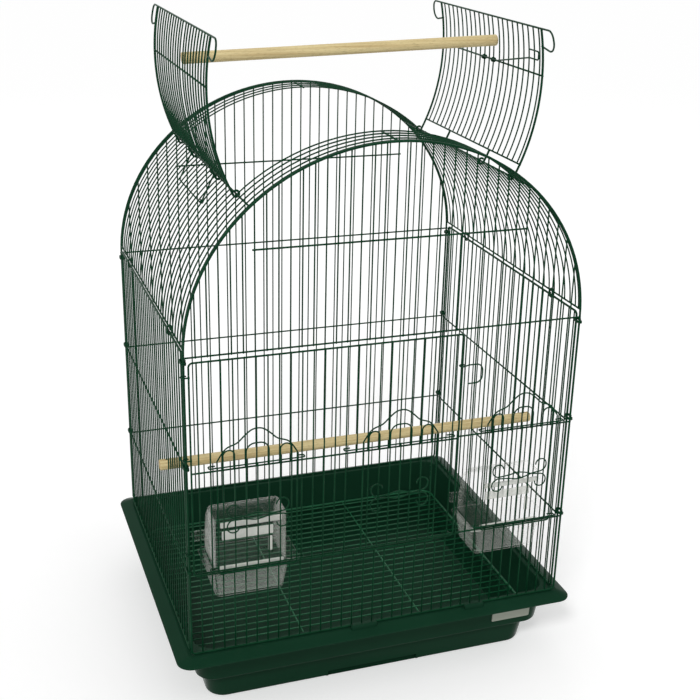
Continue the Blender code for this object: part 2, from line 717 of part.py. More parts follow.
def small_door(name, wire, gaps, guide_y):
    """Lift-up door with a shaped top and a scroll; it slides on two wires of what it covers."""
    y = guide_y - LAYER
    x = wire * PITCH_X
    half = OUTLINE_GAPS * PITCH_X
    top = MID_Z
    crown = [(x - across, y, top + up) for across, up in CROWN[:-1]]
    crown.append((x, y, top + CROWN[-1][1]))
    crown += [(x + across, y, top + up) for across, up in reversed(CROWN[:-1])]
    outline = [(x + half, y, top + SHOULDER_UP), (x + half, y, LOW_Z),
               (x - half, y, LOW_Z), (x - half, y, top + SHOULDER_UP)]
    frame = wire_mesh(f"{name}_frame", [outline + crown], RAIL_HALF, True)
    item = part(name, frame, "wire", (x, guide_y, LOW_Z + SLIDE_RAIL_UP))
    reach = gaps / 2 * PITCH_X
    rails = [
        slide_rail(x - reach, x + reach, guide_y, y, z + SLIDE_RAIL_UP) for z in (LOW_Z, MID_Z)]
    weld(item, "rails", wire_mesh(f"{name}_rails", rails, WIRE_RADIUS))
    low = LOW_Z + SLIDE_RAIL_UP
    wires = [[(x, y, low), (x, y, top + SLIDE_RAIL_UP)]]
    for first, second, up in HAIRPINS:
        left, right = x + first * PITCH_X, x + second * PITCH_X
        bend = min(0.45 * (right - left), 0.009)
        wires.append(rounded(
            [(left, y, low), (left, y, top + up), (right, y, top + up), (right, y, low)], bend))
    weld(item, "wires", wire_mesh(f"{name}_wires", wires))
    weld(item, "scroll", wire_mesh(f"{name}_scroll", [scroll(x, y - 0.0006, LOW_Z + SCROLL_UP)]))
    return item


def scroll(x, y, z):
    """S-shaped ornament whose two ends curl inwards."""
    half = []
    for step in range(7):
        share = step / 6
        along = SCROLL_SPAN / 2 - SCROLL_CURL
        angle = -math.pi / 2 + share * math.radians(330)
        radius = SCROLL_CURL * (1.0 - 0.45 * share)
        up = SCROLL_RISE / 2 - SCROLL_CURL + radius * math.sin(angle)
        half.append(Vector((along + radius * math.cos(angle), 0.0, up)))
    start = half[0]
    middle = [Vector((start.x * share, 0.0, start.z * share)) for share in (0.0, 0.5)]
    right = middle + half
    left = [-point for point in reversed(right[1:])]
    centre = Vector((x, y, z))
    return [centre + point for point in left + right]


def base_pan():
    """Deep base in one piece: floor, stepped wall, and a sloped skirt that the cage stands in."""
    step_z = RIM_Z - STEP_DOWN
    profile = (
        (-WALL_IN - WALL_DRAFT - STEP_IN - PAN_DRAFT, 0.0, PAN_CORNER),
        (-WALL_IN - WALL_DRAFT - STEP_IN, step_z, PAN_CORNER),
        (-WALL_IN - WALL_DRAFT, step_z, PAN_CORNER),
        (-WALL_IN, WALL_TOP_Z, PAN_CORNER),
        (SKIRT_OUT, RIM_Z - SKIRT_DROP - SKIRT_EDGE, SKIRT_CORNER),
        (SKIRT_OUT, RIM_Z - SKIRT_DROP, SKIRT_CORNER),
        (LAND_OUT, LAND_Z, LAND_CORNER),
        (-WALL_IN - BASE_WALL, LAND_Z, PAN_CORNER),
        (-WALL_IN - WALL_DRAFT - BASE_WALL, LEDGE_Z, PAN_CORNER),
        (-WALL_IN - WALL_DRAFT - STEP_IN - BASE_WALL, LEDGE_Z, PAN_CORNER),
        (-WALL_IN - WALL_DRAFT - STEP_IN - PAN_DRAFT - BASE_WALL, BASE_WALL, PAN_CORNER),
    )
    loops = [corner_loop(HALF_W + out, HALF_D + out, z, radius) for out, z, radius in profile]
    item = part("base_pan", loft_mesh("base_pan", loops), "base")
    for index, (left, right) in enumerate(TAB_SPANS):
        outer = FRONT_Y - FRAME_HALF - CLEARANCE - TAB_THICK
        tab = box_mesh(
            "tab", (left, outer, LAND_Z - BASE_WALL / 2),
            (right, outer + TAB_THICK - CLEARANCE, RIM_Z + TAB_RISE))
        weld(item, f"tab_{index}", tab)
    foot_y = -(HALF_D + profile[0][0])
    recess = box_mesh(
        "recess", (-RECESS_WIDTH / 2, foot_y - 0.02, -0.01),
        (RECESS_WIDTH / 2, foot_y + RECESS_DEPTH, RECESS_HEIGHT))
    cut(item, "recess", recess)
    return item


def label_plate():
    """Blank plate on the base's front wall."""
    wall_height = WALL_TOP_Z - (RIM_Z - STEP_DOWN)
    slope = math.atan2(WALL_DRAFT, wall_height)
    share = (WALL_TOP_Z - (RIM_Z - PLATE_DOWN)) / wall_height
    wall_y = -(HALF_D - WALL_IN - WALL_DRAFT * share)
    mesh = box_mesh(
        "label_plate", (-PLATE_WIDTH / 2, -PLATE_THICK, -PLATE_HEIGHT / 2),
        (PLATE_WIDTH / 2, 0.0, PLATE_HEIGHT / 2))
    item = part("label_plate", mesh, "plate")
    item.location = (HALF_W - PLATE_FROM_SIDE, wall_y - CLEARANCE, RIM_Z - PLATE_DOWN)
    item.rotation_euler = (slope, 0.0, 0.0)
    return item


def floor_grille():
    """Wire floor that lies on the ledge inside the base."""
    half_x, half_y = HALF_W - GRILLE_INSET, HALF_D - GRILLE_INSET
    z = LEDGE_Z + CLEARANCE + FRAME_HALF
    outline = rounded(
        [(-half_x, -half_y, z), (half_x, -half_y, z), (half_x, half_y, z), (-half_x, half_y, z)],
        0.018, closed=True)
    item = part("floor_grille", wire_mesh("grille_frame", [outline], FRAME_HALF, True))
    rails = []
    for side in (-1, 1):
        x = side * GRILLE_CROSS_GAPS * PITCH_X
        rails.append([(x, -half_y, z), (x, half_y, z)])
    weld(item, "rails", wire_mesh("grille_rails", rails, RAIL_HALF))
    count = math.floor((half_y - 0.006) / PITCH_Y)
    wires = [[(-half_x, k * PITCH_Y, z), (half_x, k * PITCH_Y, z)] for k in range(-count, count + 1)]
    weld(item, "wires", wire_mesh("grille_wires", wires))
    return item


def feeder_cup(name, x):
    """Tapered cup with a flat rim on both sides."""
    y = FEEDER_Y + CUP_DEPTH / 2
    half_x, half_y = CUP_WIDTH / 2, CUP_DEPTH / 2
    bottom = CUP_TOP - CUP_HEIGHT
    under = CUP_TOP - RIM_THICK
    inner = -FEEDER_WALL
    profile = (
        (-CUP_DRAFT, -CUP_DRAFT, bottom, 0.0), (0.0, 0.0, under, 0.0),
        (RIM_OUT, RIM_LAP, under, RIM_SHIFT), (RIM_OUT, RIM_LAP, CUP_TOP, RIM_SHIFT),
        (inner, inner, CUP_TOP, 0.0), (inner - CUP_DRAFT, inner - CUP_DRAFT, bottom + FEEDER_WALL, 0.0))
    loops = [
        corner_loop(half_x + wide, half_y + deep, z, CUP_CORNER, (x + shift, y), 2)
        for wide, deep, z, shift in profile]
    return part(name, loft_mesh(name, loops), "clear")


def hood_section(x, inset, foot):
    """Side view of a feeder hood as a loop across X."""
    front, top = FEEDER_Y + inset, HOOD_Z + HOOD_HEIGHT - inset
    back = FEEDER_Y + CUP_DEPTH - inset
    shelf = FEEDER_Y + HOOD_TOP_DEPTH - inset * 0.6
    return [
        (x, front, foot), (x, back, foot), (x, back, HOOD_Z + 0.25 * HOOD_HEIGHT),
        (x, (back + shelf) / 2 + 0.004, HOOD_Z + 0.75 * HOOD_HEIGHT - inset * 0.4),
        (x, shelf, top), (x, front, top)]


def feeder_hood(name, x):
    """Hood over a cup, open below and with a window to the inside of the cage."""
    half = HOOD_WIDTH / 2
    body = loft_mesh(name, [hood_section(x - half, 0.0, HOOD_Z), hood_section(x + half, 0.0, HOOD_Z)])
    item = part(name, body, "clear")
    inner = half - FEEDER_WALL
    cut(item, "hollow", loft_mesh("hollow", [
        hood_section(x - inner, FEEDER_WALL, HOOD_Z - 0.01),
        hood_section(x + inner, FEEDER_WALL, HOOD_Z - 0.01)]))
    back = FEEDER_Y + CUP_DEPTH
    window = HOOD_WINDOW_WIDTH / 2
    cut(item, "window", box_mesh(
        "window", (x - window, back - 0.022, HOOD_Z + 0.006),
        (x + window, back + 0.01, HOOD_Z + 0.006 + HOOD_WINDOW_HEIGHT)))
    peg_y, peg_z = FEEDER_Y + CUP_DEPTH - PEG_IN, HOOD_Z + PEG_UP
    weld(item, "peg", rod_mesh(
        "peg", (x - half + FEEDER_WALL / 2, peg_y, peg_z), (x - half - PEG_LENGTH, peg_y, peg_z),
        PEG_RADIUS, 14))
    lug_low = LOW_Z + RAIL_HALF + CLEARANCE
    for index, side in enumerate((-1, 1)):
        nearest = math.floor((x + side * half * 0.6) / PITCH_X) + 0.5
        lug_x = nearest * PITCH_X
        weld(item, f"lug_{index}", box_mesh(
            "lug", (lug_x - LUG_WIDTH / 2, FRONT_Y - RAIL_HALF * 0.8, lug_low),
            (lug_x + LUG_WIDTH / 2, FEEDER_Y + FEEDER_WALL * 0.6, lug_low + LUG_THICK)))
    return item


def top_perch():
    """Dowel held across the two open flaps, between two sprung wires of each."""
    left, right = open_flap_point(-1, TOP_PERCH_LEFT_X), open_flap_point(1, TOP_PERCH_RIGHT_X)
    over = TOP_PERCH_OVERHANG * (right - left).normalized()
    centre = (left + right) / 2
    mesh = rod_mesh("top_perch", left - over, right + over, DOWEL_RADIUS, DOWEL_SIDES)
    return part("top_perch", mesh, "wood", centre)


def inner_perch():
    """Dowel across the cage whose slotted ends straddle a wire of each side panel."""
    z = RIM_Z + LOW_PERCH_UP
    half = HALF_W + LOW_PERCH_OVERHANG
    left, right = (-half, LOW_PERCH_Y, z), (half, LOW_PERCH_Y, z)
    mesh = rod_mesh("inner_perch", left, right, DOWEL_RADIUS, DOWEL_SIDES)
    item = part("inner_perch", mesh, "wood", (0.0, LOW_PERCH_Y, z))
    slot = WIRE_RADIUS + 2 * CLEARANCE
    for side in (-1, 1):
        inner, outer = sorted((side * (half - LOW_PERCH_SLOT), side * (half + 0.01)))
        cut(item, f"slot_{side + 1}", box_mesh(
            "slot", (inner, LOW_PERCH_Y - slot, z - 0.02), (outer, LOW_PERCH_Y + slot, z + 0.02)))
    return item


def ring(first, second, radius, plane):
    """Closed loop round two points, in the plane of the line between them and one direction."""
    first, second = Vector(first), Vector(second)
    along = (second - first).normalized()
    across = Vector(plane)
    points = []
    for centre, turn in ((first, 0.0), (second, math.pi)):
        for step in range(5):
            angle = turn + math.pi / 2 + step * math.pi / 4
            points.append(centre + radius * (math.cos(angle) * along + math.sin(angle) * across))
    return points


def clips():
    """Wire rings that bind the panels together at the corners and along the roof's feet."""
    post_y, side_y = HALF_D, HALF_D - SIDE_FRAME_INSET
    for level, z in (("low", LOW_Z), ("mid", MID_Z), ("high", SPRING_Z - 2 * CLIP_ABOVE_RAIL)):
        z += CLIP_ABOVE_RAIL
        for end, y_sign in (("front", -1), ("back", 1)):
            for side, x_sign in (("left", -1), ("right", 1)):
                x = x_sign * HALF_W
                post, frame = (x, y_sign * post_y, z), (x, y_sign * side_y, z)
                path = ring(post, frame, CLIP_RADIUS, (1.0, 0.0, 0.0))
                name = f"{end}_{side}_{level}_clip"
                part(name, wire_mesh(name, [path], None, True))
    foot_x = HALF_W * math.cos(foot_angle())
    for end, y_sign in (("front", -1), ("back", 1)):
        for side, x_sign in (("left", -1), ("right", 1)):
            y = y_sign * ROOF_CLIP_GAPS * PITCH_Y
            path = ring(
                (x_sign * HALF_W, y, SIDE_TOP_Z), (x_sign * foot_x, y, ROOF_FOOT_Z), CLIP_RADIUS,
                (1.0, 0.0, 0.0))
            name = f"{end}_{side}_roof_clip"
            part(name, wire_mesh(name, [path], None, True))


def main():
    clear_scene()
    base_pan()
    label_plate()
    floor_grille()
    front_panel()
    back_panel()
    side_panel("left_side_panel", -1)
    side_panel("right_side_panel", 1)
    roof_panel()
    flap("left_flap", -1)
    flap("right_flap", 1)
    roof_latch()
    roof_bail()
    main_door()
    main_door_latch()
    small_door("left_feeder_door", LEFT_DOOR_WIRE, FEEDER_DOOR_GAPS, DOOR_Y)
    small_door("middle_door", MIDDLE_DOOR_WIRE, MIDDLE_DOOR_GAPS, DOOR_Y)
    small_door("right_feeder_door", RIGHT_DOOR_WIRE, FEEDER_DOOR_GAPS, FRONT_Y)
    feeders = (
        ("left", LEFT_DOOR_WIRE, LEFT_FEEDER_SHIFT), ("right", RIGHT_DOOR_WIRE, RIGHT_FEEDER_SHIFT))
    for side, wire, shift in feeders:
        feeder_cup(f"{side}_feeder_cup", wire * PITCH_X + shift)
        feeder_hood(f"{side}_feeder_hood", wire * PITCH_X + shift)
    top_perch()
    inner_perch()
    clips()


main()
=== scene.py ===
"""Open-top bird cage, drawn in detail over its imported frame.

Metres, +Z up, in the frame's own place. The wires of the frame are three-sided and four-sided
bars; here they are round wires that lap where they are welded, with a bead at each crossing.
"""

import math

import bmesh
import bpy
import numpy as np
from mathutils import Matrix, Vector


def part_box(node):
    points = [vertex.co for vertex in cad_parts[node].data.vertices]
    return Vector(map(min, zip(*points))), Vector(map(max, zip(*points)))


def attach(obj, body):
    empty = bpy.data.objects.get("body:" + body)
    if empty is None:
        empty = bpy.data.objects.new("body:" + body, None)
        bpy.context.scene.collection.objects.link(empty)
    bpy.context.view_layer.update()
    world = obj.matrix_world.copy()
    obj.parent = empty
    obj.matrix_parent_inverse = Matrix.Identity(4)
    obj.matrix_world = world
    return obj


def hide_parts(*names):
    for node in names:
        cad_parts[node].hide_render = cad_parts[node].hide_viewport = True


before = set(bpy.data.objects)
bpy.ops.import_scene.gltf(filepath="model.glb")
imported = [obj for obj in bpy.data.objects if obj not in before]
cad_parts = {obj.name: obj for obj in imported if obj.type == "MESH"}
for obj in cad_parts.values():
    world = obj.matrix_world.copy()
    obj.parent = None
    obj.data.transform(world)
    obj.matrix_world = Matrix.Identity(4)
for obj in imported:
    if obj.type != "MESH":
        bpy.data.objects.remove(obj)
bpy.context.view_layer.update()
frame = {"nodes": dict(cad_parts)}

bl_info = {
    "name": "Open-Top Bird Cage",
    "version": (1, 0, 0),
    "blender": (4, 5, 0),
    "location": "3D View > Sidebar > Bird Cage",
    "description": "Builds a wire bird cage with an open barrel roof on a deep plastic base",
    "category": "Add Mesh",
}

MM = 0.001
UP = (0.0, 0.0, 1.0)
BACKWARD = (0.0, 1.0, 0.0)
RIGHTWARD = (1.0, 0.0, 0.0)

# The cage's own measures, as its CAD has them
HALF_W = 0.2285
HALF_D = 0.1905
PITCH_X = 2 * HALF_W / 36
PITCH_Y = 2 * HALF_D / 30
FOOT_Z = 0.0852
LOW_Z = 0.1875
MID_Z = 0.3135
SPRING_Z = 0.4445
SIDE_TOP_Z = 0.4485
ROOF_FOOT_Z = 0.454
ARCH_RISE = 0.2125
ROOF_FOOT = math.asin((ROOF_FOOT_Z - SPRING_Z) / ARCH_RISE)
ARCH_RAIL_Z = 0.554
FRONT_Y = -HALF_D
DOOR_Y = -0.1936
DOOR_LAYER = 0.0031
SIDE_END = HALF_D - 0.00731
ROOF_END = HALF_D - 0.0035
OVERRUN = 0.0016
BEND = 0.0045
HINGE_X = 0.157
OPENING_HALF = 0.1397
FLAP_HALF = 0.1355
FLAP_LIFT = 0.0033
FLAP_OPEN = math.radians(76)
FLAP_FOOT_X = 0.147
QUARTER_X = 0.058
TOP_X = 0.008
EYE_RADIUS = 0.003035
POST_EYE = 0.003247
DOOR_LEFT, DOOR_RIGHT, DOOR_TOP = -0.2240, 0.08416, 0.440
FEEDER_Y = -0.1855
FEEDER_DEPTH = 0.058
CUP_FOOT = 0.1465
HOOD_Z = 0.1838

# Wires: a bead's half width and the pitch of wound turns, in radii of the thin wire
BEAD = 1.15
WOUND = 2.1
# A thin wire laid on a rail stands this far from it, and the bead between them half as far
ON_RAIL = 0.0006
# Half of how far two lapped wires stand from each other
HALF_LAP = 0.0004

# Sockets of a Mix node that mixes colours
SHARE, FIRST, SECOND, MIXED = 0, 6, 7, 2


def linear(code):
    """An sRGB hex colour as the linear values that a socket takes."""
    values = [int(code[at:at + 2], 16) / 255 for at in (1, 3, 5)]
    return tuple(v / 12.92 if v <= 0.04045 else ((v + 0.055) / 1.055) ** 2.4 for v in values)


COLOUR = {"subtype": "COLOR", "size": 3, "min": 0.0, "max": 1.0}
LENGTH = {"unit": "LENGTH", "subtype": "DISTANCE", "precision": 5}


class CageFinishes(bpy.types.PropertyGroup):
    """The colours of the cage's finishes."""

    paint: bpy.props.FloatVectorProperty(
        name="Wire Paint", description="Colour of the powder coat on every wire",
        default=linear("#083620"), **COLOUR)
    base: bpy.props.FloatVectorProperty(
        name="Base Plastic", description="Colour of the moulded base",
        default=linear("#143625"), **COLOUR)
    wood: bpy.props.FloatVectorProperty(
        name="Perch Wood", description="Colour of the sapwood between the grain lines",
        default=linear("#e2d09b"), **COLOUR)
    plate: bpy.props.FloatVectorProperty(
        name="Plate", description="Colour of the blank plate on the base",
        default=linear("#9aa092"), **COLOUR)
    feeder: bpy.props.FloatVectorProperty(
        name="Feeder Plastic", description="Tint of the clear cups and hoods",
        default=linear("#f1f3ec"), **COLOUR)


class CageSizes(bpy.types.PropertyGroup):
    """Sizes of the stock that the cage is made from."""

    wire: bpy.props.FloatProperty(
        name="Wire Radius", description="Half the thickness of the thin upright wires",
        default=0.00086, min=0.0004, **LENGTH)
    rail: bpy.props.FloatProperty(
        name="Rail Radius", description="Half the thickness of the rails across the wires",
        default=0.00105, min=0.0004, **LENGTH)
    frame: bpy.props.FloatProperty(
        name="Frame Radius", description="Half the thickness of each panel's border wire",
        default=0.0013, min=0.0004, **LENGTH)
    lap: bpy.props.FloatProperty(
        name="Weld Lap", description="How far a rail's middle stands behind the wires on it",
        default=0.0008, min=0.0, **LENGTH)
    dowel: bpy.props.FloatProperty(
        name="Perch Radius", description="Half the thickness of the two dowels",
        default=0.00635, min=0.003, **LENGTH)


def add_node(tree, kind, values=None, links=None, **settings):
    """A shader node, the values of its inputs, what is linked into it, and its settings.

    A link is a node, whose first output is taken, or a node and the output's name or number.
    """
    node = tree.nodes.new("ShaderNode" + kind)
    for name, value in settings.items():
        setattr(node, name, value)
    for socket, value in (values or {}).items():
        node.inputs[socket].default_value = value
    for socket, link in (links or {}).items():
        source, output = link if isinstance(link, tuple) else (link, 0)
        tree.links.new(source.outputs[output], node.inputs[socket])
    return node


def toned(colour, factor=1.0, lift=0.0):
    """A colour made darker or paler, as a colour socket takes it."""
    return (*(min(1.0, value * factor + lift) for value in colour), 1.0)


def powder_coated_steel(tree, place, tone, shine):
    """Dark green powder coat, baked on drawn steel wire.

    The eye gets a deep satin green, a faint orange peel, and slightly paler, rubbed paint in
    patches where hands and the bird touch it.
    """
    # A tone over 1 makes the paint paler as a painted highlight
    paint = [value * tone for value in bpy.context.scene.cage_finishes.paint]
    # Handling marks run 25 mm long
    patches = add_node(tree, "TexNoise", {"Scale": 40.0, "Detail": 3.0}, {"Vector": place})
    rubbed = add_node(tree, "MapRange", {"From Min": 0.42, "From Max": 0.72}, {"Value": patches})
    colour = add_node(tree, "Mix", {FIRST: toned(paint), SECOND: toned(paint, 1.35, 0.002)},
                      {SHARE: rubbed}, data_type="RGBA")
    gloss = add_node(tree, "MapRange", {"To Min": 0.30, "To Max": 0.44}, {"Value": patches})
    # Orange peel is about 0.6 mm across on wire this thin
    peel = add_node(tree, "TexNoise", {"Scale": 1600.0, "Detail": 1.0}, {"Vector": place})
    bump = add_node(tree, "Bump", {"Strength": 0.25, "Distance": 0.06 * MM}, {"Height": peel})
    return add_node(tree, "BsdfPrincipled", {"IOR": 1.5, "Specular IOR Level": shine},
                    {"Base Color": (colour, MIXED), "Roughness": gloss, "Normal": bump})


def moulded_polystyrene(tree, place):
    """High-impact polystyrene, injection moulded in a polished mould.

    The eye gets a deep green with a clear gloss, a slow ripple where the wall sank as it
    cooled, and fine scuffs all over that dull it a little.
    """
    base = bpy.context.scene.cage_finishes.base
    # Flow of the melt shows as clouds about 70 mm across
    flow = add_node(tree, "TexNoise", {"Scale": 14.0, "Detail": 2.0}, {"Vector": place})
    colour = add_node(tree, "Mix", {FIRST: toned(base, 0.86), SECOND: toned(base, 1.16)},
                      {SHARE: flow}, data_type="RGBA")
    # Scuffs are 0.9 mm high and run 11 mm along the wall
    stretch = add_node(tree, "Mapping", {"Scale": (90.0, 90.0, 1100.0)}, {"Vector": place})
    scuff = add_node(tree, "TexNoise", {"Scale": 1.0, "Detail": 3.0}, {"Vector": stretch})
    gloss = add_node(tree, "MapRange",
                     {"From Min": 0.35, "From Max": 0.75, "To Min": 0.16, "To Max": 0.26},
                     {"Value": scuff})
    # Sink marks are 30 mm apart and a few tenths of a millimetre deep
    sink = add_node(tree, "TexNoise", {"Scale": 33.0, "Detail": 0.0}, {"Vector": place})
    bump = add_node(tree, "Bump", {"Strength": 0.35, "Distance": 0.5 * MM}, {"Height": sink})
    return add_node(tree, "BsdfPrincipled", {"IOR": 1.59, "Specular IOR Level": 0.018},
                    {"Base Color": (colour, MIXED), "Roughness": gloss, "Normal": bump})


def thin_polystyrene(tree, place, facing, edge, roughness):
    """General-purpose polystyrene in a thin wall, see-through where it faces the eye.

    The eye gets a wall that is pale along its folds, waves a little and is dulled in patches.
    Facing and edge are how much of what is behind it the wall hides, seen square on and along.
    """
    # On the painted-highlight finish this near-white tint shows as the painted highlight
    tint = bpy.context.scene.cage_finishes.feeder
    # Washing dulls patches about 8 mm across
    washed = add_node(tree, "TexNoise", {"Scale": 120.0, "Detail": 2.0}, {"Vector": place})
    gloss = add_node(tree, "MapRange", {"From Min": 0.35, "From Max": 0.7, "To Min": roughness,
                                        "To Max": roughness * 2.5}, {"Value": washed})
    # The walls wave a little every 18 mm
    wave = add_node(tree, "TexNoise", {"Scale": 55.0, "Detail": 1.0}, {"Vector": place})
    bump = add_node(tree, "Bump", {"Strength": 0.6, "Distance": 1.2 * MM}, {"Height": wave})
    fold = add_node(tree, "LayerWeight", {"Blend": 0.5})
    cover = add_node(tree, "MapRange", {"From Min": 0.62, "To Min": facing, "To Max": edge},
                     {"Value": (fold, "Facing")})
    return add_node(tree, "BsdfPrincipled", {"Base Color": toned(tint), "IOR": 1.59},
                    {"Roughness": gloss, "Normal": bump, "Alpha": cover})


def turned_beech(tree, place):
    """Beech dowel, turned and sanded but not varnished.

    The eye gets a dull pale yellow wood with long brown pores and streaks along it, and
    darker cut ends.
    """
    wood = bpy.context.scene.cage_finishes.wood
    # Growth bands are 2 mm wide and run 120 mm before they break
    along = add_node(tree, "Mapping", {"Scale": (8.0, 500.0, 500.0)}, {"Vector": place})
    bands = add_node(tree, "TexNoise", {"Scale": 1.0, "Detail": 3.0}, {"Vector": along})
    # Pores are 0.4 mm wide and 6 mm long
    along = add_node(tree, "Mapping", {"Scale": (160.0, 2500.0, 2500.0)}, {"Vector": place})
    pores = add_node(tree, "TexNoise", {"Scale": 1.0, "Detail": 1.0}, {"Vector": along})
    # A cut end faces along X
    facing = add_node(tree, "NewGeometry")
    split = add_node(tree, "SeparateXYZ", {}, {0: (facing, "Normal")})
    ends = add_node(tree, "Math", {}, {0: split}, operation="ABSOLUTE")
    dark = [value * share for value, share in zip(wood, (0.62, 0.50, 0.36))]
    colour = None
    for source, start, end, most, tone in (
            (bands, 0.38, 0.75, 0.75, 1.0), (pores, 0.60, 0.72, 0.55, 0.45),
            (ends, 0.75, 0.95, 0.55, 1.0)):
        share = add_node(tree, "MapRange", {"From Min": start, "From Max": end, "To Max": most},
                         {"Value": source})
        under = {FIRST: (colour, MIXED)} if colour else {}
        colour = add_node(tree, "Mix", {FIRST: toned(wood), SECOND: toned(dark, tone)},
                          {SHARE: share, **under}, data_type="RGBA")
    bump = add_node(tree, "Bump", {"Strength": 0.4, "Distance": 0.12 * MM}, {"Height": pores})
    return add_node(tree, "BsdfPrincipled", {"Roughness": 0.62, "IOR": 1.5},
                    {"Base Color": (colour, MIXED), "Normal": bump})


def plate_vinyl(tree, place):
    """Calendered vinyl plate, matt, stuck on the base.

    The eye gets a flat grey-green with a fine grain that takes the gloss off it.
    """
    plate = bpy.context.scene.cage_finishes.plate
    # Calender grain is 0.3 mm, drawn at 0.6 mm so that it shows
    grain = add_node(tree, "TexNoise", {"Scale": 1600.0, "Detail": 2.0}, {"Vector": place})
    colour = add_node(tree, "Mix", {FIRST: toned(plate, 0.88), SECOND: toned(plate, 1.12)},
                      {SHARE: grain}, data_type="RGBA")
    bump = add_node(tree, "Bump", {"Strength": 0.3, "Distance": 0.1 * MM}, {"Height": grain})
    return add_node(tree, "BsdfPrincipled", {"Roughness": 0.48, "IOR": 1.54},
                    {"Base Color": (colour, MIXED), "Normal": bump})


def studio_floor(tree, place):
    """Pale matt floor paint.

    The eye gets an even white that glows a little, so that it goes over into the surroundings
    and still keeps the cage's shadow.
    """
    path = add_node(tree, "LightPath")
    seen = add_node(tree, "Math", {}, {0: (path, "Is Camera Ray"), 1: (path, "Is Glossy Ray")},
                    operation="MAXIMUM")
    through = add_node(tree, "Math", {}, {0: seen, 1: (path, "Is Transmission Ray")},
                       operation="MAXIMUM")
    glow = add_node(tree, "Math", {1: 0.36}, {0: through}, operation="MULTIPLY")
    return add_node(tree, "BsdfPrincipled",
                    {"Base Color": toned(linear("#e6e6e6")), "Roughness": 0.9,
                     "Specular IOR Level": 0.0, "Emission Color": (1.0, 1.0, 1.0, 1.0)},
                    {"Emission Strength": glow})


# Each material's name, what wires its nodes, and the numbers that it takes
FINISHES = {
    # Every wire above the base: deep satin green
    "satin_powder_coat": (powder_coated_steel, 1.0, 0.06),
    # The floor grille: shinier, and with its paint made paler as a painted highlight along its
    # wires
    "shiny_painted_highlight_coat": (powder_coated_steel, 2.8, 0.38),
    "moulded_polystyrene": (moulded_polystyrene,),
    # From a polished mould: glassy walls with the green behind them that shine along each fold
    "clear_polystyrene": (thin_polystyrene, 0.012, 0.8, 0.05),
    # On the hood's bands and the cup's rim: a milky grey, painted as the highlights that the clear
    # plastic shows there
    "painted_highlight_polystyrene": (thin_polystyrene, 0.6, 0.9, 0.16),
    # On the fronts of the cups: a cloudy grey over the green
    "cloudy_front_polystyrene": (thin_polystyrene, 0.2, 0.85, 0.12),
    "turned_beech": (turned_beech,),
    "plate_vinyl": (plate_vinyl,),
    "studio_floor": (studio_floor,),
}


def finish(name):
    """A material of the table, made when it is first asked for."""
    made = bpy.data.materials.get(name)
    if made is None:
        made = bpy.data.materials.new(name)
        made.use_nodes = True
        tree = made.node_tree
        tree.nodes.clear()
        wire_up, *numbers = FINISHES[name]
        shader = wire_up(tree, (add_node(tree, "TexCoord"), "Object"), *numbers)
        add_node(tree, "OutputMaterial", {}, {"Surface": shader})
    return made


def settle(piece, node, body, slot, *finishes):
    """Give a finished piece its materials and let it stand for its node on its body."""
    for name in finishes:
        piece.data.materials.append(finish(name))
    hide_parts(node)
    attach(piece, body)


def bent(points, radius=BEND, steps=4, closed=False):
    """The same path with every corner bent to a radius, but for the ends of an open one."""
    points = [Vector(point) for point in points]
    path = []
    for index, point in enumerate(points):
        before = (points[index - 1] - point).normalized()
        after = (points[(index + 1) % len(points)] - point).normalized()
        half = before.angle(after, 0.0) / 2
        straight = half > 1.5
        if straight or not closed and index in (0, len(points) - 1):
            path.append(point)
            continue
        centre = point + (before + after).normalized() * radius / math.sin(half)
        reach = radius / math.tan(half)
        start = (point + before * reach - centre).normalized()
        end = (point + after * reach - centre).normalized()
        path += [centre + radius * start.slerp(end, step / steps) for step in range(steps + 1)]
    return path


def eye(centre, start, sweep, radius, across, along, steps=14):
    """Points of an eye bent round a centre, in degrees from across towards along."""
    centre, across, along = Vector(centre), Vector(across), Vector(along)
    angles = [math.radians(start + sweep * step / steps) for step in range(steps + 1)]
    return [centre + radius * (math.cos(a) * across + math.sin(a) * along) for a in angles]


def smooth_line(points, steps=3):
    """More points on a curve in a plane that passes through all of these."""
    line = [Vector(point) for point in (points[0], *points, points[-1])]
    full = []
    for before, start, end, after in zip(line, line[1:], line[2:], line[3:]):
        for step in range(steps):
            t = step / steps
            full.append(0.5 * (
                2 * start + (end - before) * t + (2 * before - 5 * start + 4 * end - after) * t * t
                + (3 * start - before - 3 * end + after) * t ** 3))
    return [tuple(point) for point in full + [line[-1]]]


def roof_point(angle, y, lift=0.0):
    """A point of the barrel roof; the angle runs from the right over the top."""
    return Vector((
        (HALF_W + lift) * math.cos(angle), y, SPRING_Z + (ARCH_RISE + lift) * math.sin(angle)))


def roof_angle(x, lift=0.0):
    """The angle at which the roof stands that far to the right."""
    return math.acos(x / (HALF_W + lift))


def roof_arc(start, end, y, steps, lift=0.0):
    """Points over the roof from one angle to another."""
    return [roof_point(start + (end - start) * step / steps, y, lift) for step in range(steps + 1)]


def roof_directions(angle, lift=0.0):
    """Straight out of the roof, and along it towards the right."""
    normal = Vector((math.cos(angle) / (HALF_W + lift), 0.0, math.sin(angle) / (ARCH_RISE + lift)))
    normal.normalize()
    return normal, Vector((normal.z, 0.0, -normal.x))


def turn_open(side):
    """From the shut flap, as it is drawn, to the open one."""
    pivot = roof_point(roof_angle(side * HINGE_X), 0.0)
    return Matrix.Translation(pivot) @ Matrix.Rotation(
        side * FLAP_OPEN, 4, "Y") @ Matrix.Translation(-pivot)


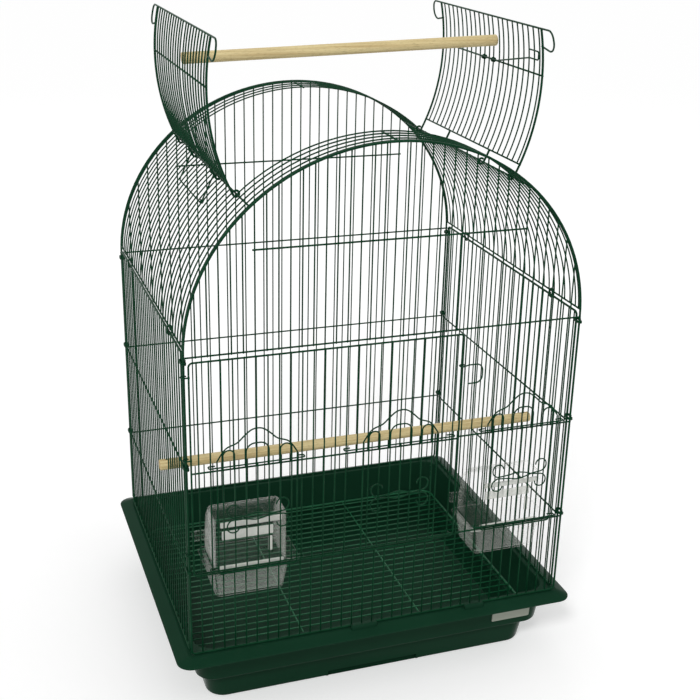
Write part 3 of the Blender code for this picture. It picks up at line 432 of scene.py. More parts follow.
def solid_piece(name, shape, angle=40):
    """An object for a bmesh, which is freed, smooth where its faces meet at less than an angle."""
    shape.normal_update()
    bmesh.ops.recalc_face_normals(shape, faces=shape.faces)
    for face in shape.faces:
        face.smooth = True
    for edge in shape.edges:
        if len(edge.link_faces) == 2:
            edge.smooth = edge.calc_face_angle(0.0) < math.radians(angle)
    mesh = bpy.data.meshes.new(name)
    shape.to_mesh(mesh)
    shape.free()
    piece = bpy.data.objects.new(name, mesh)
    bpy.context.scene.collection.objects.link(piece)
    return piece


class Wirework:
    """Collects round wires and weld beads into one mesh."""

    def __init__(self):
        stock = bpy.context.scene.cage_sizes
        self.thin, self.rail, self.frame, self.lap = stock.wire, stock.rail, stock.frame, stock.lap
        self.places, self.faces, self.count = [], [], 0

    def add_rings(self, rings, closed=False):
        """Join rings of points into a tube, and close its ends if it has any."""
        sides, rows = len(rings[0]), len(rings)
        self.places.append(np.concatenate(rings))
        base = self.count
        self.count += rows * sides
        for row in range(rows if closed else rows - 1):
            low, high = base + row * sides, base + (row + 1) % rows * sides
            for side in range(sides):
                near = (side + 1) % sides
                self.faces.append((low + side, low + near, high + near, high + side))
        if not closed:
            self.faces.append(tuple(range(base + sides - 1, base - 1, -1)))
            self.faces.append(tuple(range(self.count - sides, self.count)))

    def wire(self, path, radius=None, closed=False, sides=8):
        """One round wire along the points, its cut ends rounded over by the paint."""
        radius = radius or self.thin
        line = np.array([tuple(point) for point in path], dtype=float)
        same = 0.02 * MM
        keep = [0]
        for index in range(1, len(line)):
            if np.linalg.norm(line[index] - line[keep[-1]]) > same:
                keep.append(index)
        line = line[keep]
        if closed and np.linalg.norm(line[0] - line[-1]) < same:
            line = line[:-1]
        before, after = np.roll(line, 1, 0), np.roll(line, -1, 0)
        if not closed:
            before[0], after[-1] = line[0], line[-1]
        tangents = after - before
        tangents /= np.linalg.norm(tangents, axis=1)[:, None]
        hint = np.array(UP if abs(tangents[0][2]) < 0.8 else BACKWARD)
        across = hint - tangents[0] * hint.dot(tangents[0])
        frames = []
        for tangent in tangents:
            across = across - tangent * across.dot(tangent)
            across /= np.linalg.norm(across)
            frames.append((across, np.cross(tangent, across)))
        twist = 0.0
        if closed:
            # The section is turned a little at each point, so that its last ring meets its first
            first, second = frames[0]
            final = frames[-1][0] - tangents[0] * frames[-1][0].dot(tangents[0])
            twist = math.atan2(final.dot(second), final.dot(first))
        angles = np.arange(sides)[:, None] * 2 * math.pi / sides
        rings = []
        for index, (one, two) in enumerate(frames):
            turned = angles - twist * index / len(frames)
            rings.append(line[index] + radius * (np.cos(turned) * one + np.sin(turned) * two))
        if not closed:
            def cap(ring, centre, outward):
                return centre + outward * radius * 0.5 + (ring - centre) * 0.55
            rings.insert(0, cap(rings[0], line[0], -tangents[0]))
            rings.append(cap(rings[-1], line[-1], tangents[-1]))
        self.add_rings(rings, closed)

    def bead(self, centre, along=UP, radius=None):
        """A small fillet of weld and pooled paint where two wires cross."""
        radius = radius or self.thin * BEAD
        axis = Vector(along)
        one = axis.orthogonal().normalized()
        two = axis.cross(one)
        rings = []
        for height, width in ((-1.2825, 0.35), (-0.675, 0.9), (0.675, 0.9), (1.2825, 0.35)):
            middle = Vector(centre) + radius * height * axis
            ring = eye(middle, 0, 300, radius * width, one, two, 5)
            rings.append(np.array([tuple(point) for point in ring]))
        self.add_rings(rings)

    def coil(self, centre, start, sweep, radius, across, along, run):
        """An eye of more than one turn, which climbs along run as it goes round."""
        path = eye(centre, start, sweep, radius, across, along, int(sweep / 24))
        climb = Vector(run) * self.thin * WOUND * sweep / 360
        return [point + climb * (1 - index / (len(path) - 1))
                for index, point in enumerate(path)]

    def fit(self, node, body="cage", coat="satin_powder_coat"):
        """Make the piece, paint it and let it stand for its node on its body."""
        mesh = bpy.data.meshes.new("wirework")
        mesh.from_pydata(np.concatenate(self.places).tolist(), [], self.faces)
        shape = bmesh.new()
        shape.from_mesh(mesh)
        bpy.data.meshes.remove(mesh)
        settle(solid_piece(f"{node}_wirework", shape), node, body, "powder_coated_steel", coat)


def corner_loop(half_x, half_y, z, radius, centre=(0.0, 0.0), steps=10):
    """A rectangle with round corners, as points in order."""
    points = []
    for quarter, (sign_x, sign_y) in enumerate(((1, 1), (-1, 1), (-1, -1), (1, -1))):
        for step in range(steps + 1):
            angle = (quarter + step / steps) * math.pi / 2
            points.append((
                centre[0] + sign_x * (half_x - radius) + radius * math.cos(angle),
                centre[1] + sign_y * (half_y - radius) + radius * math.sin(angle), z))
    return points


def loft(shape, loops):
    """Skin loops of equal length into a closed body, in a bmesh."""
    rings = [[shape.verts.new(point) for point in loop] for loop in loops]
    for lower, upper in zip(rings, rings[1:]):
        for index in range(len(lower)):
            near = (index + 1) % len(lower)
            shape.faces.new((lower[index], lower[near], upper[near], upper[index]))
    shape.faces.new(list(reversed(rings[0])))
    shape.faces.new(rings[-1])


def soft_block(shape, low, high, radius, steps=3):
    """A block with every edge rounded, in a bmesh."""
    low, high = Vector(low), Vector(high)
    before = set(shape.verts)
    place = Matrix.Translation((low + high) / 2) @ Matrix.Diagonal((*(high - low), 1.0))
    bmesh.ops.create_cube(shape, size=1.0, matrix=place)
    made = [vert for vert in shape.verts if vert not in before]
    edges = list({edge for vert in made for edge in vert.link_edges})
    bmesh.ops.bevel(shape, geom=edges, offset=radius, segments=steps, profile=0.5, affect="EDGES")


def carved(piece, *blocks):
    """A bmesh of a piece, which is removed, after its modifiers and these blocks.

    Each block is UNION or DIFFERENCE, its corners, the radius of its edges and their steps.
    """
    helpers = []
    for operation, *block in blocks:
        shape = bmesh.new()
        soft_block(shape, *block)
        helpers.append(solid_piece("carving_block", shape))
        change = piece.modifiers.new("carving", "BOOLEAN")
        change.operation, change.solver, change.object = operation, "EXACT", helpers[-1]
    bpy.context.view_layer.update()
    final = piece.evaluated_get(bpy.context.evaluated_depsgraph_get())
    mesh = bpy.data.meshes.new_from_object(final)
    for spare in (piece, *helpers):
        bpy.data.objects.remove(spare, do_unlink=True)
    shape = bmesh.new()
    shape.from_mesh(mesh)
    return shape


class BIRDCAGE_OT_stage(bpy.types.Operator):
    """Set the camera, the soft studio lights, the white surroundings and the pale floor"""

    bl_idname = "birdcage.stage"
    bl_label = "Stage"

    def execute(self, context):
        context.scene.view_settings.view_transform = "Standard"
        self.camera(context.scene)
        self.light("key_light", "SUN", (-1.5, -1.9, 2.6), 1.15)
        self.light("fill_light", "AREA", (2.0, -1.4, 1.5), 7.0)
        self.light("back_light", "AREA", (0.4, 2.0, 2.2), 7.0)
        self.surroundings(context.scene)
        self.floor(context.scene)
        return {"FINISHED"}

    def camera(self, scene):
        """The photograph's view: from the left and above, rolled a little, 1.5 m away."""
        azimuth, elevation, roll = math.radians(-19.71), math.radians(21.59), math.radians(1.363)
        aim, distance = Vector((0.0203, 0.0, 0.3545)), 1.5201
        back = Vector((math.sin(azimuth) * math.cos(elevation),
                       -math.cos(azimuth) * math.cos(elevation), math.sin(elevation)))
        right = Vector((math.cos(azimuth), math.sin(azimuth), 0.0))
        up = back.cross(right)
        across = math.cos(roll) * right + math.sin(roll) * up
        upward = math.cos(roll) * up - math.sin(roll) * right
        lens = bpy.data.cameras.new("camera")
        lens.lens, lens.sensor_width, lens.clip_end = 62.67, 36.0, 100.0
        camera = bpy.data.objects.new("camera", lens)
        place = Matrix((across, upward, back)).transposed().to_4x4()
        place.translation = aim + distance * back
        camera.matrix_world = place
        scene.collection.objects.link(camera)
        scene.camera = camera

    def light(self, name, kind, place, power):
        """A wide soft lamp that points at the middle of the cage."""
        lamp = bpy.data.lights.new(name, kind)
        lamp.energy = power
        if kind == "SUN":
            lamp.angle = math.radians(12)
        else:
            lamp.size = 1.6
        holder = bpy.data.objects.new(name, lamp)
        holder.location = place
        aim = Vector((0.0, 0.0, 0.35)) - holder.location
        holder.rotation_euler = aim.to_track_quat("-Z", "Y").to_euler()
        bpy.context.scene.collection.objects.link(holder)

    def surroundings(self, scene):
        """White where it is seen, mirrored or seen through, and plainer as a light."""
        scene.world = bpy.data.worlds.new("surroundings")
        scene.world.use_nodes = True
        tree = scene.world.node_tree
        tree.nodes.clear()
        path = add_node(tree, "LightPath")
        seen = add_node(tree, "Math", {}, {0: (path, "Is Camera Ray"),
                                           1: (path, "Is Transmission Ray")}, operation="MAXIMUM")
        strength = add_node(tree, "MapRange", {"To Min": 0.55}, {"Value": seen})
        mirrored = add_node(tree, "Math", {}, {0: strength, 1: (path, "Is Glossy Ray")},
                            operation="MAXIMUM")
        sky = add_node(tree, "Background", {"Color": (1.0, 1.0, 1.0, 1.0)}, {"Strength": mirrored})
        add_node(tree, "OutputWorld", {}, {"Surface": sky})

    def floor(self, scene):
        """Flat studio floor that reaches 20 m each way."""
        shape = bmesh.new()
        bmesh.ops.create_grid(shape, x_segments=8, y_segments=8, size=20.0)
        mesh = bpy.data.meshes.new("floor")
        shape.to_mesh(mesh)
        shape.free()
        mesh.materials.append(finish("studio_floor"))
        ground = bpy.data.objects.new("floor", mesh)
        scene.collection.objects.link(ground)


class BIRDCAGE_OT_base_pan(bpy.types.Operator):
    """Mould the deep base with its step, its flange, its rim tabs and its recess"""

    bl_idname = "birdcage.base_pan"
    bl_label = "Base Pan"

    def execute(self, context):
        # Rows in mm: out from the wire body, height and corner radius, up the outside and
        # down the inside. The wall's rows end in a fillet, and its first and last only aim it.
        foot = ((-27.5, 0.0, 19.0), (-26.2, 0.35, 20.3), (-24.9, 1.4, 21.6), (-24.2, 3.2, 22.0))
        wall = ((-24.5, 0.0, 22.0, 0.0), (-19.5, 36.0, 22.0, 1.6), (-9.5, 36.0, 22.0, 3.0),
                (-4.5, 79.7, 22.0, 2.6), (18.0, 76.0, 17.0, 0.6), (18.0, 78.0, 17.0, 0.8),
                (4.0, 83.7, 6.0, 1.2), (-7.0, 83.7, 22.0, 1.2), (-12.0, 38.5, 22.0, 1.4),
                (-22.0, 38.5, 22.0, 2.4), (-27.0, 2.5, 22.0, 0.0))
        floor = ((-26.6, 5.4, 22.0), (-27.7, 3.5, 21.0), (-29.7, 2.5, 19.0))
        rows = list(foot)
        for before, (out, z, corner, fillet), after in zip(wall, wall[1:], wall[2:]):
            turn = bent([(row[0], 0.0, row[1]) for row in (before, (out, z), after)], fillet)
            rows += [(spot.x, spot.z, corner) for spot in turn[1:-1]]
        shape = bmesh.new()
        loft(shape, [corner_loop(HALF_W + out * MM, HALF_D + out * MM, z * MM, corner * MM)
                     for out, z, corner in (*rows, *floor)])
        # The recess is moulded as a step inside and a hollow outside
        shape = carved(
            solid_piece("base_pan_moulding", shape),
            ("UNION", (-0.0600, -0.1664, 0.0011), (0.0600, -0.1592, 0.0101), 0.0006, 2),
            ("DIFFERENCE", (-0.0575, -0.19, 0.0009), (0.0575, -0.1616, 0.0082), 0.0006, 2))
        # Two low tabs stand on the front edge
        for left, right in ((-0.040, -0.008), (0.105, 0.130)):
            soft_block(shape, (left, -0.1980, 0.0800), (right, -0.1923, 0.0880), 0.0013)
        settle(solid_piece("base_pan_moulding", shape, 32), "base_pan", "cage", "base_plastic",
               "moulded_polystyrene")
        return {"FINISHED"}


class BIRDCAGE_OT_label_plate(bpy.types.Operator):
    """Stick the thin blank plate, with its low border, on the base's front wall"""

    bl_idname = "birdcage.label_plate"
    bl_label = "Label Plate"

    def execute(self, context):
        low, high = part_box("label_plate")
        half_x, half_y = 0.0254, 0.0095
        shape = bmesh.new()
        # Rows in mm: in from the edge, height, corner radius
        loft(shape, [corner_loop(half_x - inset * MM, half_y - inset * MM, z * MM, corner * MM,
                                 steps=5)
                     for inset, z, corner in ((0.0, -0.5, 1.6), (0.0, 0.2, 1.6), (0.3, 0.5, 1.4),
                                              (1.2, 0.5, 0.8), (1.5, 0.3, 0.7))])
        wall_slope = math.atan2(5.0, 79.7 - 36.0)
        place = Matrix.Translation((Vector(low) + Vector(high)) / 2)
        bmesh.ops.transform(shape, verts=shape.verts,
                            matrix=place @ Matrix.Rotation(math.pi / 2 + wall_slope, 4, "X"))
        settle(solid_piece("label_plate_vinyl", shape), "label_plate", "cage", "plate_plastic",
               "plate_vinyl")
        return {"FINISHED"}


class BIRDCAGE_OT_floor_grille(bpy.types.Operator):
    """Weld the wire floor on the base's ledge: border, two cross rails below, and wires"""

    bl_idname = "birdcage.floor_grille"
    bl_label = "Floor Grille"

    def execute(self, context):
        work = Wirework()
        half_x, half_y, z, rail_x = 0.2125, 0.1745, 0.0400, 6 * PITCH_X
        corners = [(-half_x, -half_y, z), (half_x, -half_y, z), (half_x, half_y, z),
                   (-half_x, half_y, z)]
        work.wire(bent(corners, 0.018, 8, True), work.frame, True)
        for x in (-rail_x, rail_x):
            work.wire([(x, -half_y, z - HALF_LAP), (x, half_y, z - HALF_LAP)])
        for count in range(-13, 14):
            y = count * PITCH_Y
            work.wire([(-half_x, y, z + ON_RAIL), (half_x, y, z + ON_RAIL)])
            for x in (-half_x, -rail_x, rail_x, half_x):
                work.bead((x, y, z + ON_RAIL / 2), RIGHTWARD)
        work.fit("floor_grille", coat="shiny_painted_highlight_coat")
        return {"FINISHED"}


class BIRDCAGE_OT_end_panels(bpy.types.Operator):
    """Weld the front and back panels: border over the arch, rails inside it, and wires"""

    bl_idname = "birdcage.end_panels"
    bl_label = "Front and Back Panels"

    def execute(self, context):
        overhang = 0.0019
        low, mid, spring = ((z, -HALF_W, HALF_W) for z in (LOW_Z, MID_Z, SPRING_Z))
        beside_door = (MID_Z, 7 * PITCH_X - overhang, HALF_W)
        arch = (ARCH_RAIL_Z, -12 * PITCH_X - overhang, 12 * PITCH_X + overhang)
        self.panel("front_panel", FRONT_Y, (low, spring, beside_door, arch))
        self.panel("back_panel", HALF_D, (low, mid, spring, arch))
        return {"FINISHED"}

    def panel(self, node, y, rails):
        """Weld one of the two; a rail is its height and its ends."""
        work = Wirework()
        arch = roof_arc(math.pi, 0.0, y, 64)
        foot = bent([arch[-1], (HALF_W, y, FOOT_Z), (-HALF_W, y, FOOT_Z), arch[0]])
        work.wire(arch + foot[1:-1], work.frame, True, 10)
        inside = math.copysign(1.0, -y)
        rail_y, bead_y = y + inside * work.lap, y + inside * HALF_LAP
        for z, left, right in rails:
            work.wire([(left, rail_y, z), (right, rail_y, z)], work.rail)
            for x in (left, right):
                if abs(x) == HALF_W:
                    work.bead((x, bead_y, z), RIGHTWARD, work.frame * 1.05)
        for count in range(-17, 18):
            x = count * PITCH_X
            for low, high in self.spans(y, count, roof_point(roof_angle(x), y).z):
                work.wire([(x, y, low), (x, y, high)])
                work.bead((x, y, low))
                work.bead((x, y, high))
                for z, left, right in rails:
                    if low < z - 0.002 and z + 0.002 < high and left <= x <= right:
                        work.bead((x, bead_y, z))
        work.fit(node)

    def spans(self, y, count, top):
        """Where an upright runs; those of the front leave its door openings free.

        Wires are counted from the middle one to the right. Four of the front run all the way:
        three between the main door and the right feeder's door, and the last one.
        """
        if y > 0 or count in (7, 8, 9, 17):
            return ((FOOT_Z, top),)
        return (FOOT_Z, LOW_Z), (SPRING_Z if count < 7 else MID_Z, top)


class BIRDCAGE_OT_side_panels(bpy.types.Operator):
    """Weld the two flat side panels"""

    bl_idname = "birdcage.side_panels"
    bl_label = "Side Panels"

    def execute(self, context):
        for node, side in (("left_side_panel", -1), ("right_side_panel", 1)):
            work = Wirework()
            x = side * HALF_W
            corners = [(x, -SIDE_END, FOOT_Z), (x, SIDE_END, FOOT_Z),
                       (x, SIDE_END, SIDE_TOP_Z), (x, -SIDE_END, SIDE_TOP_Z)]
            work.wire(bent(corners, closed=True), work.frame, True, 10)
            rail_x = x - side * work.lap
            for z in (LOW_Z, MID_Z):
                work.wire([(rail_x, -SIDE_END, z), (rail_x, SIDE_END, z)], work.rail)
            for count in range(1, 30):
                y = FRONT_Y + count * PITCH_Y
                work.wire([(x, y, FOOT_Z), (x, y, SIDE_TOP_Z)])
                for z in (FOOT_Z, LOW_Z, MID_Z, SIDE_TOP_Z):
                    work.bead((x, y, z))
            work.fit(node)
        return {"FINISHED"}


class BIRDCAGE_OT_roof_panel(bpy.types.Operator):
    """Weld the barrel roof, a sheet of bent wires cut away between its two hinge rails"""

    bl_idname = "birdcage.roof_panel"
    bl_label = "Roof Panel"

    def execute(self, context):
        work = Wirework()
        first, hinge = ROOF_FOOT, roof_angle(HINGE_X)
        top, far_hinge, last = math.pi / 2, math.pi - hinge, math.pi - first
        for y in (-ROOF_END, ROOF_END):
            work.wire(roof_arc(first, last, y, 60), work.frame)
        rail_end, opening = ROOF_END + OVERRUN, OPENING_HALF - 2 * work.thin
        rails = [(angle, -rail_end, rail_end) for angle in (first, last, hinge, far_hinge)]
        rails += [(top, side * rail_end, side * opening) for side in (-1, 1)]
        for angle, *ends in rails:
            work.wire([roof_point(angle, y) for y in ends], work.rail)
        for count in range(1, 30):
            y = FRONT_Y + count * PITCH_Y
            over_opening = 4 < count < 26
            if over_opening:
                arcs, crossings = ((first, hinge, 16), (far_hinge, last, 16)), ()
            else:
                arcs, crossings = ((first, last, 56),), (top,)
            for start, end, steps in arcs:
                work.wire(roof_arc(start, end, y, steps, ON_RAIL))
            for angle in (first, hinge, *crossings, far_hinge, last):
                work.bead(roof_point(angle, y, ON_RAIL / 2), BACKWARD)
        work.fit("roof_panel")
        return {"FINISHED"}


class BIRDCAGE_OT_roof_flaps(bpy.types.Operator):
    """Weld the two curved roof flaps and stand them open"""

    bl_idname = "birdcage.roof_flaps"
    bl_label = "Roof Flaps"

    def execute(self, context):
        self.flap("left_flap", -1)
        self.flap("right_flap", 1)
        return {"FINISHED"}

    def flap(self, node, side):
        """One flap: hooked arms, cross rails, an eared rim and its thin wires."""
        work = Wirework()
        opened = turn_open(side)

        def angle(x, lift=FLAP_LIFT):
            return roof_angle(side * x, lift)

        def arc(low_x, high_x, y, steps, lift=FLAP_LIFT):
            return roof_arc(angle(low_x, lift), angle(high_x, lift), y, steps, lift)

        def draw(path, radius=None, sides=8):
            work.wire([opened @ Vector(point) for point in path], radius, sides=sides)

        hinge, hook_x = angle(HINGE_X, 0.0), 0.151
        normal, rightward = roof_directions(hinge)
        for y, top, steps in ((-FLAP_HALF, TOP_X, 40), (FLAP_HALF, TOP_X, 40),
                              (-4.5 * PITCH_Y, FLAP_FOOT_X, 2), (4.5 * PITCH_Y, FLAP_FOOT_X, 2)):
            hook = eye(roof_point(hinge, y), 285, -285, FLAP_LIFT, normal, rightward * side)
            draw(hook + arc(hook_x, top, y, steps), work.frame, 10)
        for x in (FLAP_FOOT_X, QUARTER_X):
            draw([roof_point(angle(x), end * (FLAP_HALF + OVERRUN), FLAP_LIFT) for end in (-1, 1)],
                 work.rail)
        # The rim bends out into an ear at each end
        rim = ((0.0270, FLAP_HALF - OVERRUN), (0.0325, 0.1655), (TOP_X, 0.1600))
        rim = [(x, -y) for x, y in rim] + list(rim[::-1])
        draw(bent([roof_point(angle(x), y, FLAP_LIFT) for x, y in rim], 0.0098, 10), work.rail)
        # The two wires beside the perch are sprung apart by it
        spread = {-2: -0.0014, -1: 0.0014}
        for count in range(-10, 11):
            y = count * PITCH_Y + spread.get(count, 0.0)
            draw(arc(FLAP_FOOT_X, TOP_X, y, 30, FLAP_LIFT + 0.0007))
            for x in (FLAP_FOOT_X, QUARTER_X, TOP_X):
                spot = roof_point(angle(x), y, FLAP_LIFT + ON_RAIL / 2)
                work.bead(opened @ spot, BACKWARD)
        work.fit(node, node)


class BIRDCAGE_OT_roof_fittings(bpy.types.Operator):
    """Bend the roof's latch lever and its bail"""

    bl_idname = "birdcage.roof_fittings"
    bl_label = "Roof Latch and Bail"

    def execute(self, context):
        self.latch()
        self.bail()
        return {"FINISHED"}

    def latch(self):
        """Wire lever whose eyes turn on the right flap's quarter rail."""
        work = Wirework()
        opened = turn_open(1)
        angle = roof_angle(QUARTER_X, FLAP_LIFT)
        normal, rightward = roof_directions(angle, FLAP_LIFT)
        inside, upward = -normal, -rightward
        radius, at, stem = EYE_RADIUS + 0.0003, 1.18 * PITCH_Y, 0.0015

        def spot(y, deep, up):
            return roof_point(angle, y, FLAP_LIFT) + inside * deep + upward * up

        first, second = (
            work.coil(spot(y, 0.0, 0.0), 100, 980, radius - 0.0012, inside, upward, (0, turn, 0))
            for y, turn in ((at, -1), (-at, 1)))
        # The lever ends in a blade that is folded back on itself
        tip, blade, deep = -at - 9.29 * PITCH_Y, 0.021, radius + 0.0015
        low, high = 0.0165, 0.0255
        lever = [spot(at - 0.003, radius, stem), spot(-2 * at, radius, stem),
                 spot(tip + blade, deep, low), spot(tip, deep, low),
                 spot(tip, deep, high), spot(tip + blade, deep, high)]
        for path in (first + lever[:1] + bent(lever, 0.0024, 5)[1:],
                     second + [second[-1] + upward * 0.003]):
            work.wire([opened @ point for point in path], sides=10)
        work.bead(opened @ spot(-at, radius, stem), BACKWARD, work.thin * 1.5)
        work.fit("roof_latch", "roof_latch")

    def bail(self):
        """Wire U whose two eyes hang on the left hinge rail."""
        work = Wirework()
        hang, leg, knot_up = math.radians(64), 0.0385, 0.0045
        down = Vector((-math.cos(hang), 0.0, -math.sin(hang)))
        inward = Vector((math.sin(hang), 0.0, -math.cos(hang)))
        pivot = roof_point(roof_angle(-HINGE_X), 0.0)
        first, second = (
            work.coil((pivot.x, gaps * PITCH_Y, pivot.z), 160, 560, EYE_RADIUS - 0.0004,
                      inward, down, (0, turn, 0)) for gaps, turn in ((-2.5, 1), (6.5, -1)))
        feet = [loop[-1] + down * leg for loop in (first, second)]
        path = first + bent([first[-1], *feet, second[-1]], steps=6)[1:-1] + second[::-1]
        work.wire(path, sides=10)
        # The free end is wound twice round the front corner
        work.wire(work.coil(feet[0] - down * knot_up, 0, 720, work.thin * 2.05, inward,
                            BACKWARD, down))
        work.fit("roof_bail", "roof_bail")


class BIRDCAGE_OT_main_door(bpy.types.Operator):
    """Weld the main door and bend its catch"""

    bl_idname = "birdcage.main_door"
    bl_label = "Main Door"

    def execute(self, context):
        self.door()
        self.catch()
        return {"FINISHED"}

    def door(self):
        """Large door with two openings, its eyes turned round the corner post."""
        work = Wirework()
        corners = [(DOOR_LEFT, DOOR_Y, LOW_Z), (DOOR_RIGHT, DOOR_Y, LOW_Z),
                   (DOOR_RIGHT, DOOR_Y, DOOR_TOP), (DOOR_LEFT, DOOR_Y, DOOR_TOP)]
        work.wire(bent(corners, steps=6, closed=True), work.rail, True, 10)
        rail_y = DOOR_Y - HALF_LAP
        work.wire([(DOOR_LEFT, rail_y, MID_Z), (DOOR_RIGHT, rail_y, MID_Z)], work.rail)
        for count in range(-17, 7):
            x = count * PITCH_X
            # The openings reach 3 wires each way from wire -12, and 4 each way from wire 1
            low = LOW_Z if abs(count + 12) > 3 and abs(count - 1) > 4 else MID_Z
            work.wire([(x, DOOR_Y, low), (x, DOOR_Y, DOOR_TOP)])
            for z in sorted({low, MID_Z, DOOR_TOP}):
                work.bead((x, DOOR_Y, z))
        hinge_heights = (0.2140, 0.3290, 0.4240)
        for z in hinge_heights:
            edge = (DOOR_LEFT, DOOR_Y, z)
            loop = eye((-HALF_W, FRONT_Y, z), -90, -235, POST_EYE, RIGHTWARD, BACKWARD)
            work.wire([edge, *loop], sides=10)
            work.bead(edge, radius=work.frame * 1.1)
        work.fit("main_door", "main_door")

    def catch(self):
        """Loop hung on the door's edge wire."""
        work = Wirework()
        high, low = 0.4025, 0.3800
        near, reach = DOOR_RIGHT + 0.008, DOOR_RIGHT + 0.025
        loop = eye((DOOR_RIGHT, DOOR_Y, high), -30, 300, POST_EYE, RIGHTWARD, BACKWARD)
        corners = [(x, DOOR_Y, z) for x, z in (
            (near, high), (reach, high), (reach, low), (near, low))]
        work.wire(loop + bent(corners, 0.008, 8), sides=10)
        work.fit("main_door_latch", "main_door_latch")


class BIRDCAGE_OT_small_doors(bpy.types.Operator):
    """Weld the three lift-up doors with their scrolls"""

    bl_idname = "birdcage.small_doors"
    bl_label = "Small Doors"

    def execute(self, context):
        self.door("left_feeder_door", -12, 8, DOOR_Y)
        self.door("middle_door", 1, 10, DOOR_Y)
        self.door("right_feeder_door", 13, 8, FRONT_Y)
        return {"FINISHED"}

    def door(self, node, wire, gaps, guide_y):
        """Crowned border, rails hooked round two guides, hairpin wires and scroll."""
        work = Wirework()
        x, y = wire * PITCH_X, guide_y - DOOR_LAYER
        half, front, back = 3.5 * PITCH_X, y - 0.0005, guide_y + 0.0024
        low, high = LOW_Z + 0.0046, MID_Z + 0.0046
        # Right half of the crown: out from the middle, and up from the door's upper rail
        crown = [(half, 0.0125), (0.0350, 0.0258), (0.0225, 0.0312), (0.0145, 0.0385),
                 (0.0070, 0.0444)]
        crown += [(0.0, 0.0460)] + [(-out, up) for out, up in reversed(crown)]
        curve = [Vector((x + out, y, MID_Z + up)) for out, up in smooth_line(crown, 5)]
        foot = bent([curve[-1], (x - half, y, LOW_Z), (x + half, y, LOW_Z), curve[0]], 0.0025)
        work.wire(curve + foot[1:-1], closed=True)
        reach = gaps / 2 * PITCH_X + 0.0024
        hook = reach - 0.0074
        for z in (low, high):
            rail = [(x + out, deep, z) for out, deep in ((-hook, back), (-reach, back), (-reach, y),
                                                         (reach, y), (reach, back), (hook, back))]
            work.wire(bent(rail, 0.0016, 5))
            for side in (-half, half):
                work.bead((x + side, y - 0.0003, z), radius=work.rail * BEAD)
            for count in range(-3, 4):
                work.bead((x + count * PITCH_X, y - 0.0003, z))
        work.wire([(x, front, low), (x, front, high)])
        for first, second, up in ((-3, -2, 0.024), (-1, 1, 0.029), (2, 3, 0.024)):
            left, right, top = x + first * PITCH_X, x + second * PITCH_X, MID_Z + up
            pin = [(left, front, low), (left, front, top), (right, front, top), (right, front, low)]
            work.wire(bent(pin, min(0.48 * (right - left), 0.010), 8))
        for flip in (1, -1):
            work.wire(self.scroll(x, front - 0.0011, LOW_Z + 0.0675, flip), work.thin * 0.92)
        work.fit(node, node)

    def scroll(self, x, y, z, flip):
        """One of the two crossed wires of the ornament, with a coil at both its ends."""
        size, across, up = 0.0085, 0.0262, 0.0098
        path, far = [], []
        for step in range(15):
            # A coil is 0.62 of its size at its free end, and full from 0.45 of its sweep on
            share = step / 14
            turn = math.radians(20 + 250 * share)
            radius = size * (0.62 + 0.38 * min(1.0, share * 2.2))
            path.append((radius * math.cos(turn) - across, radius * math.sin(turn) + up))
            turn = math.radians(90 - 260 * share)
            radius = size * (1.0 - 0.38 * max(0.0, share * 2.2 - 1.2))
            far.append((radius * math.cos(turn) + across, radius * math.sin(turn) - up))
        path += [(-0.0125, 0.0026), (-0.003, 0.0044), (0.007, 0.0030), (0.0165, 0.0), *far]
        layer = y - HALF_LAP * flip
        return [(x + out, layer, z + rise * flip) for out, rise in smooth_line(path)]


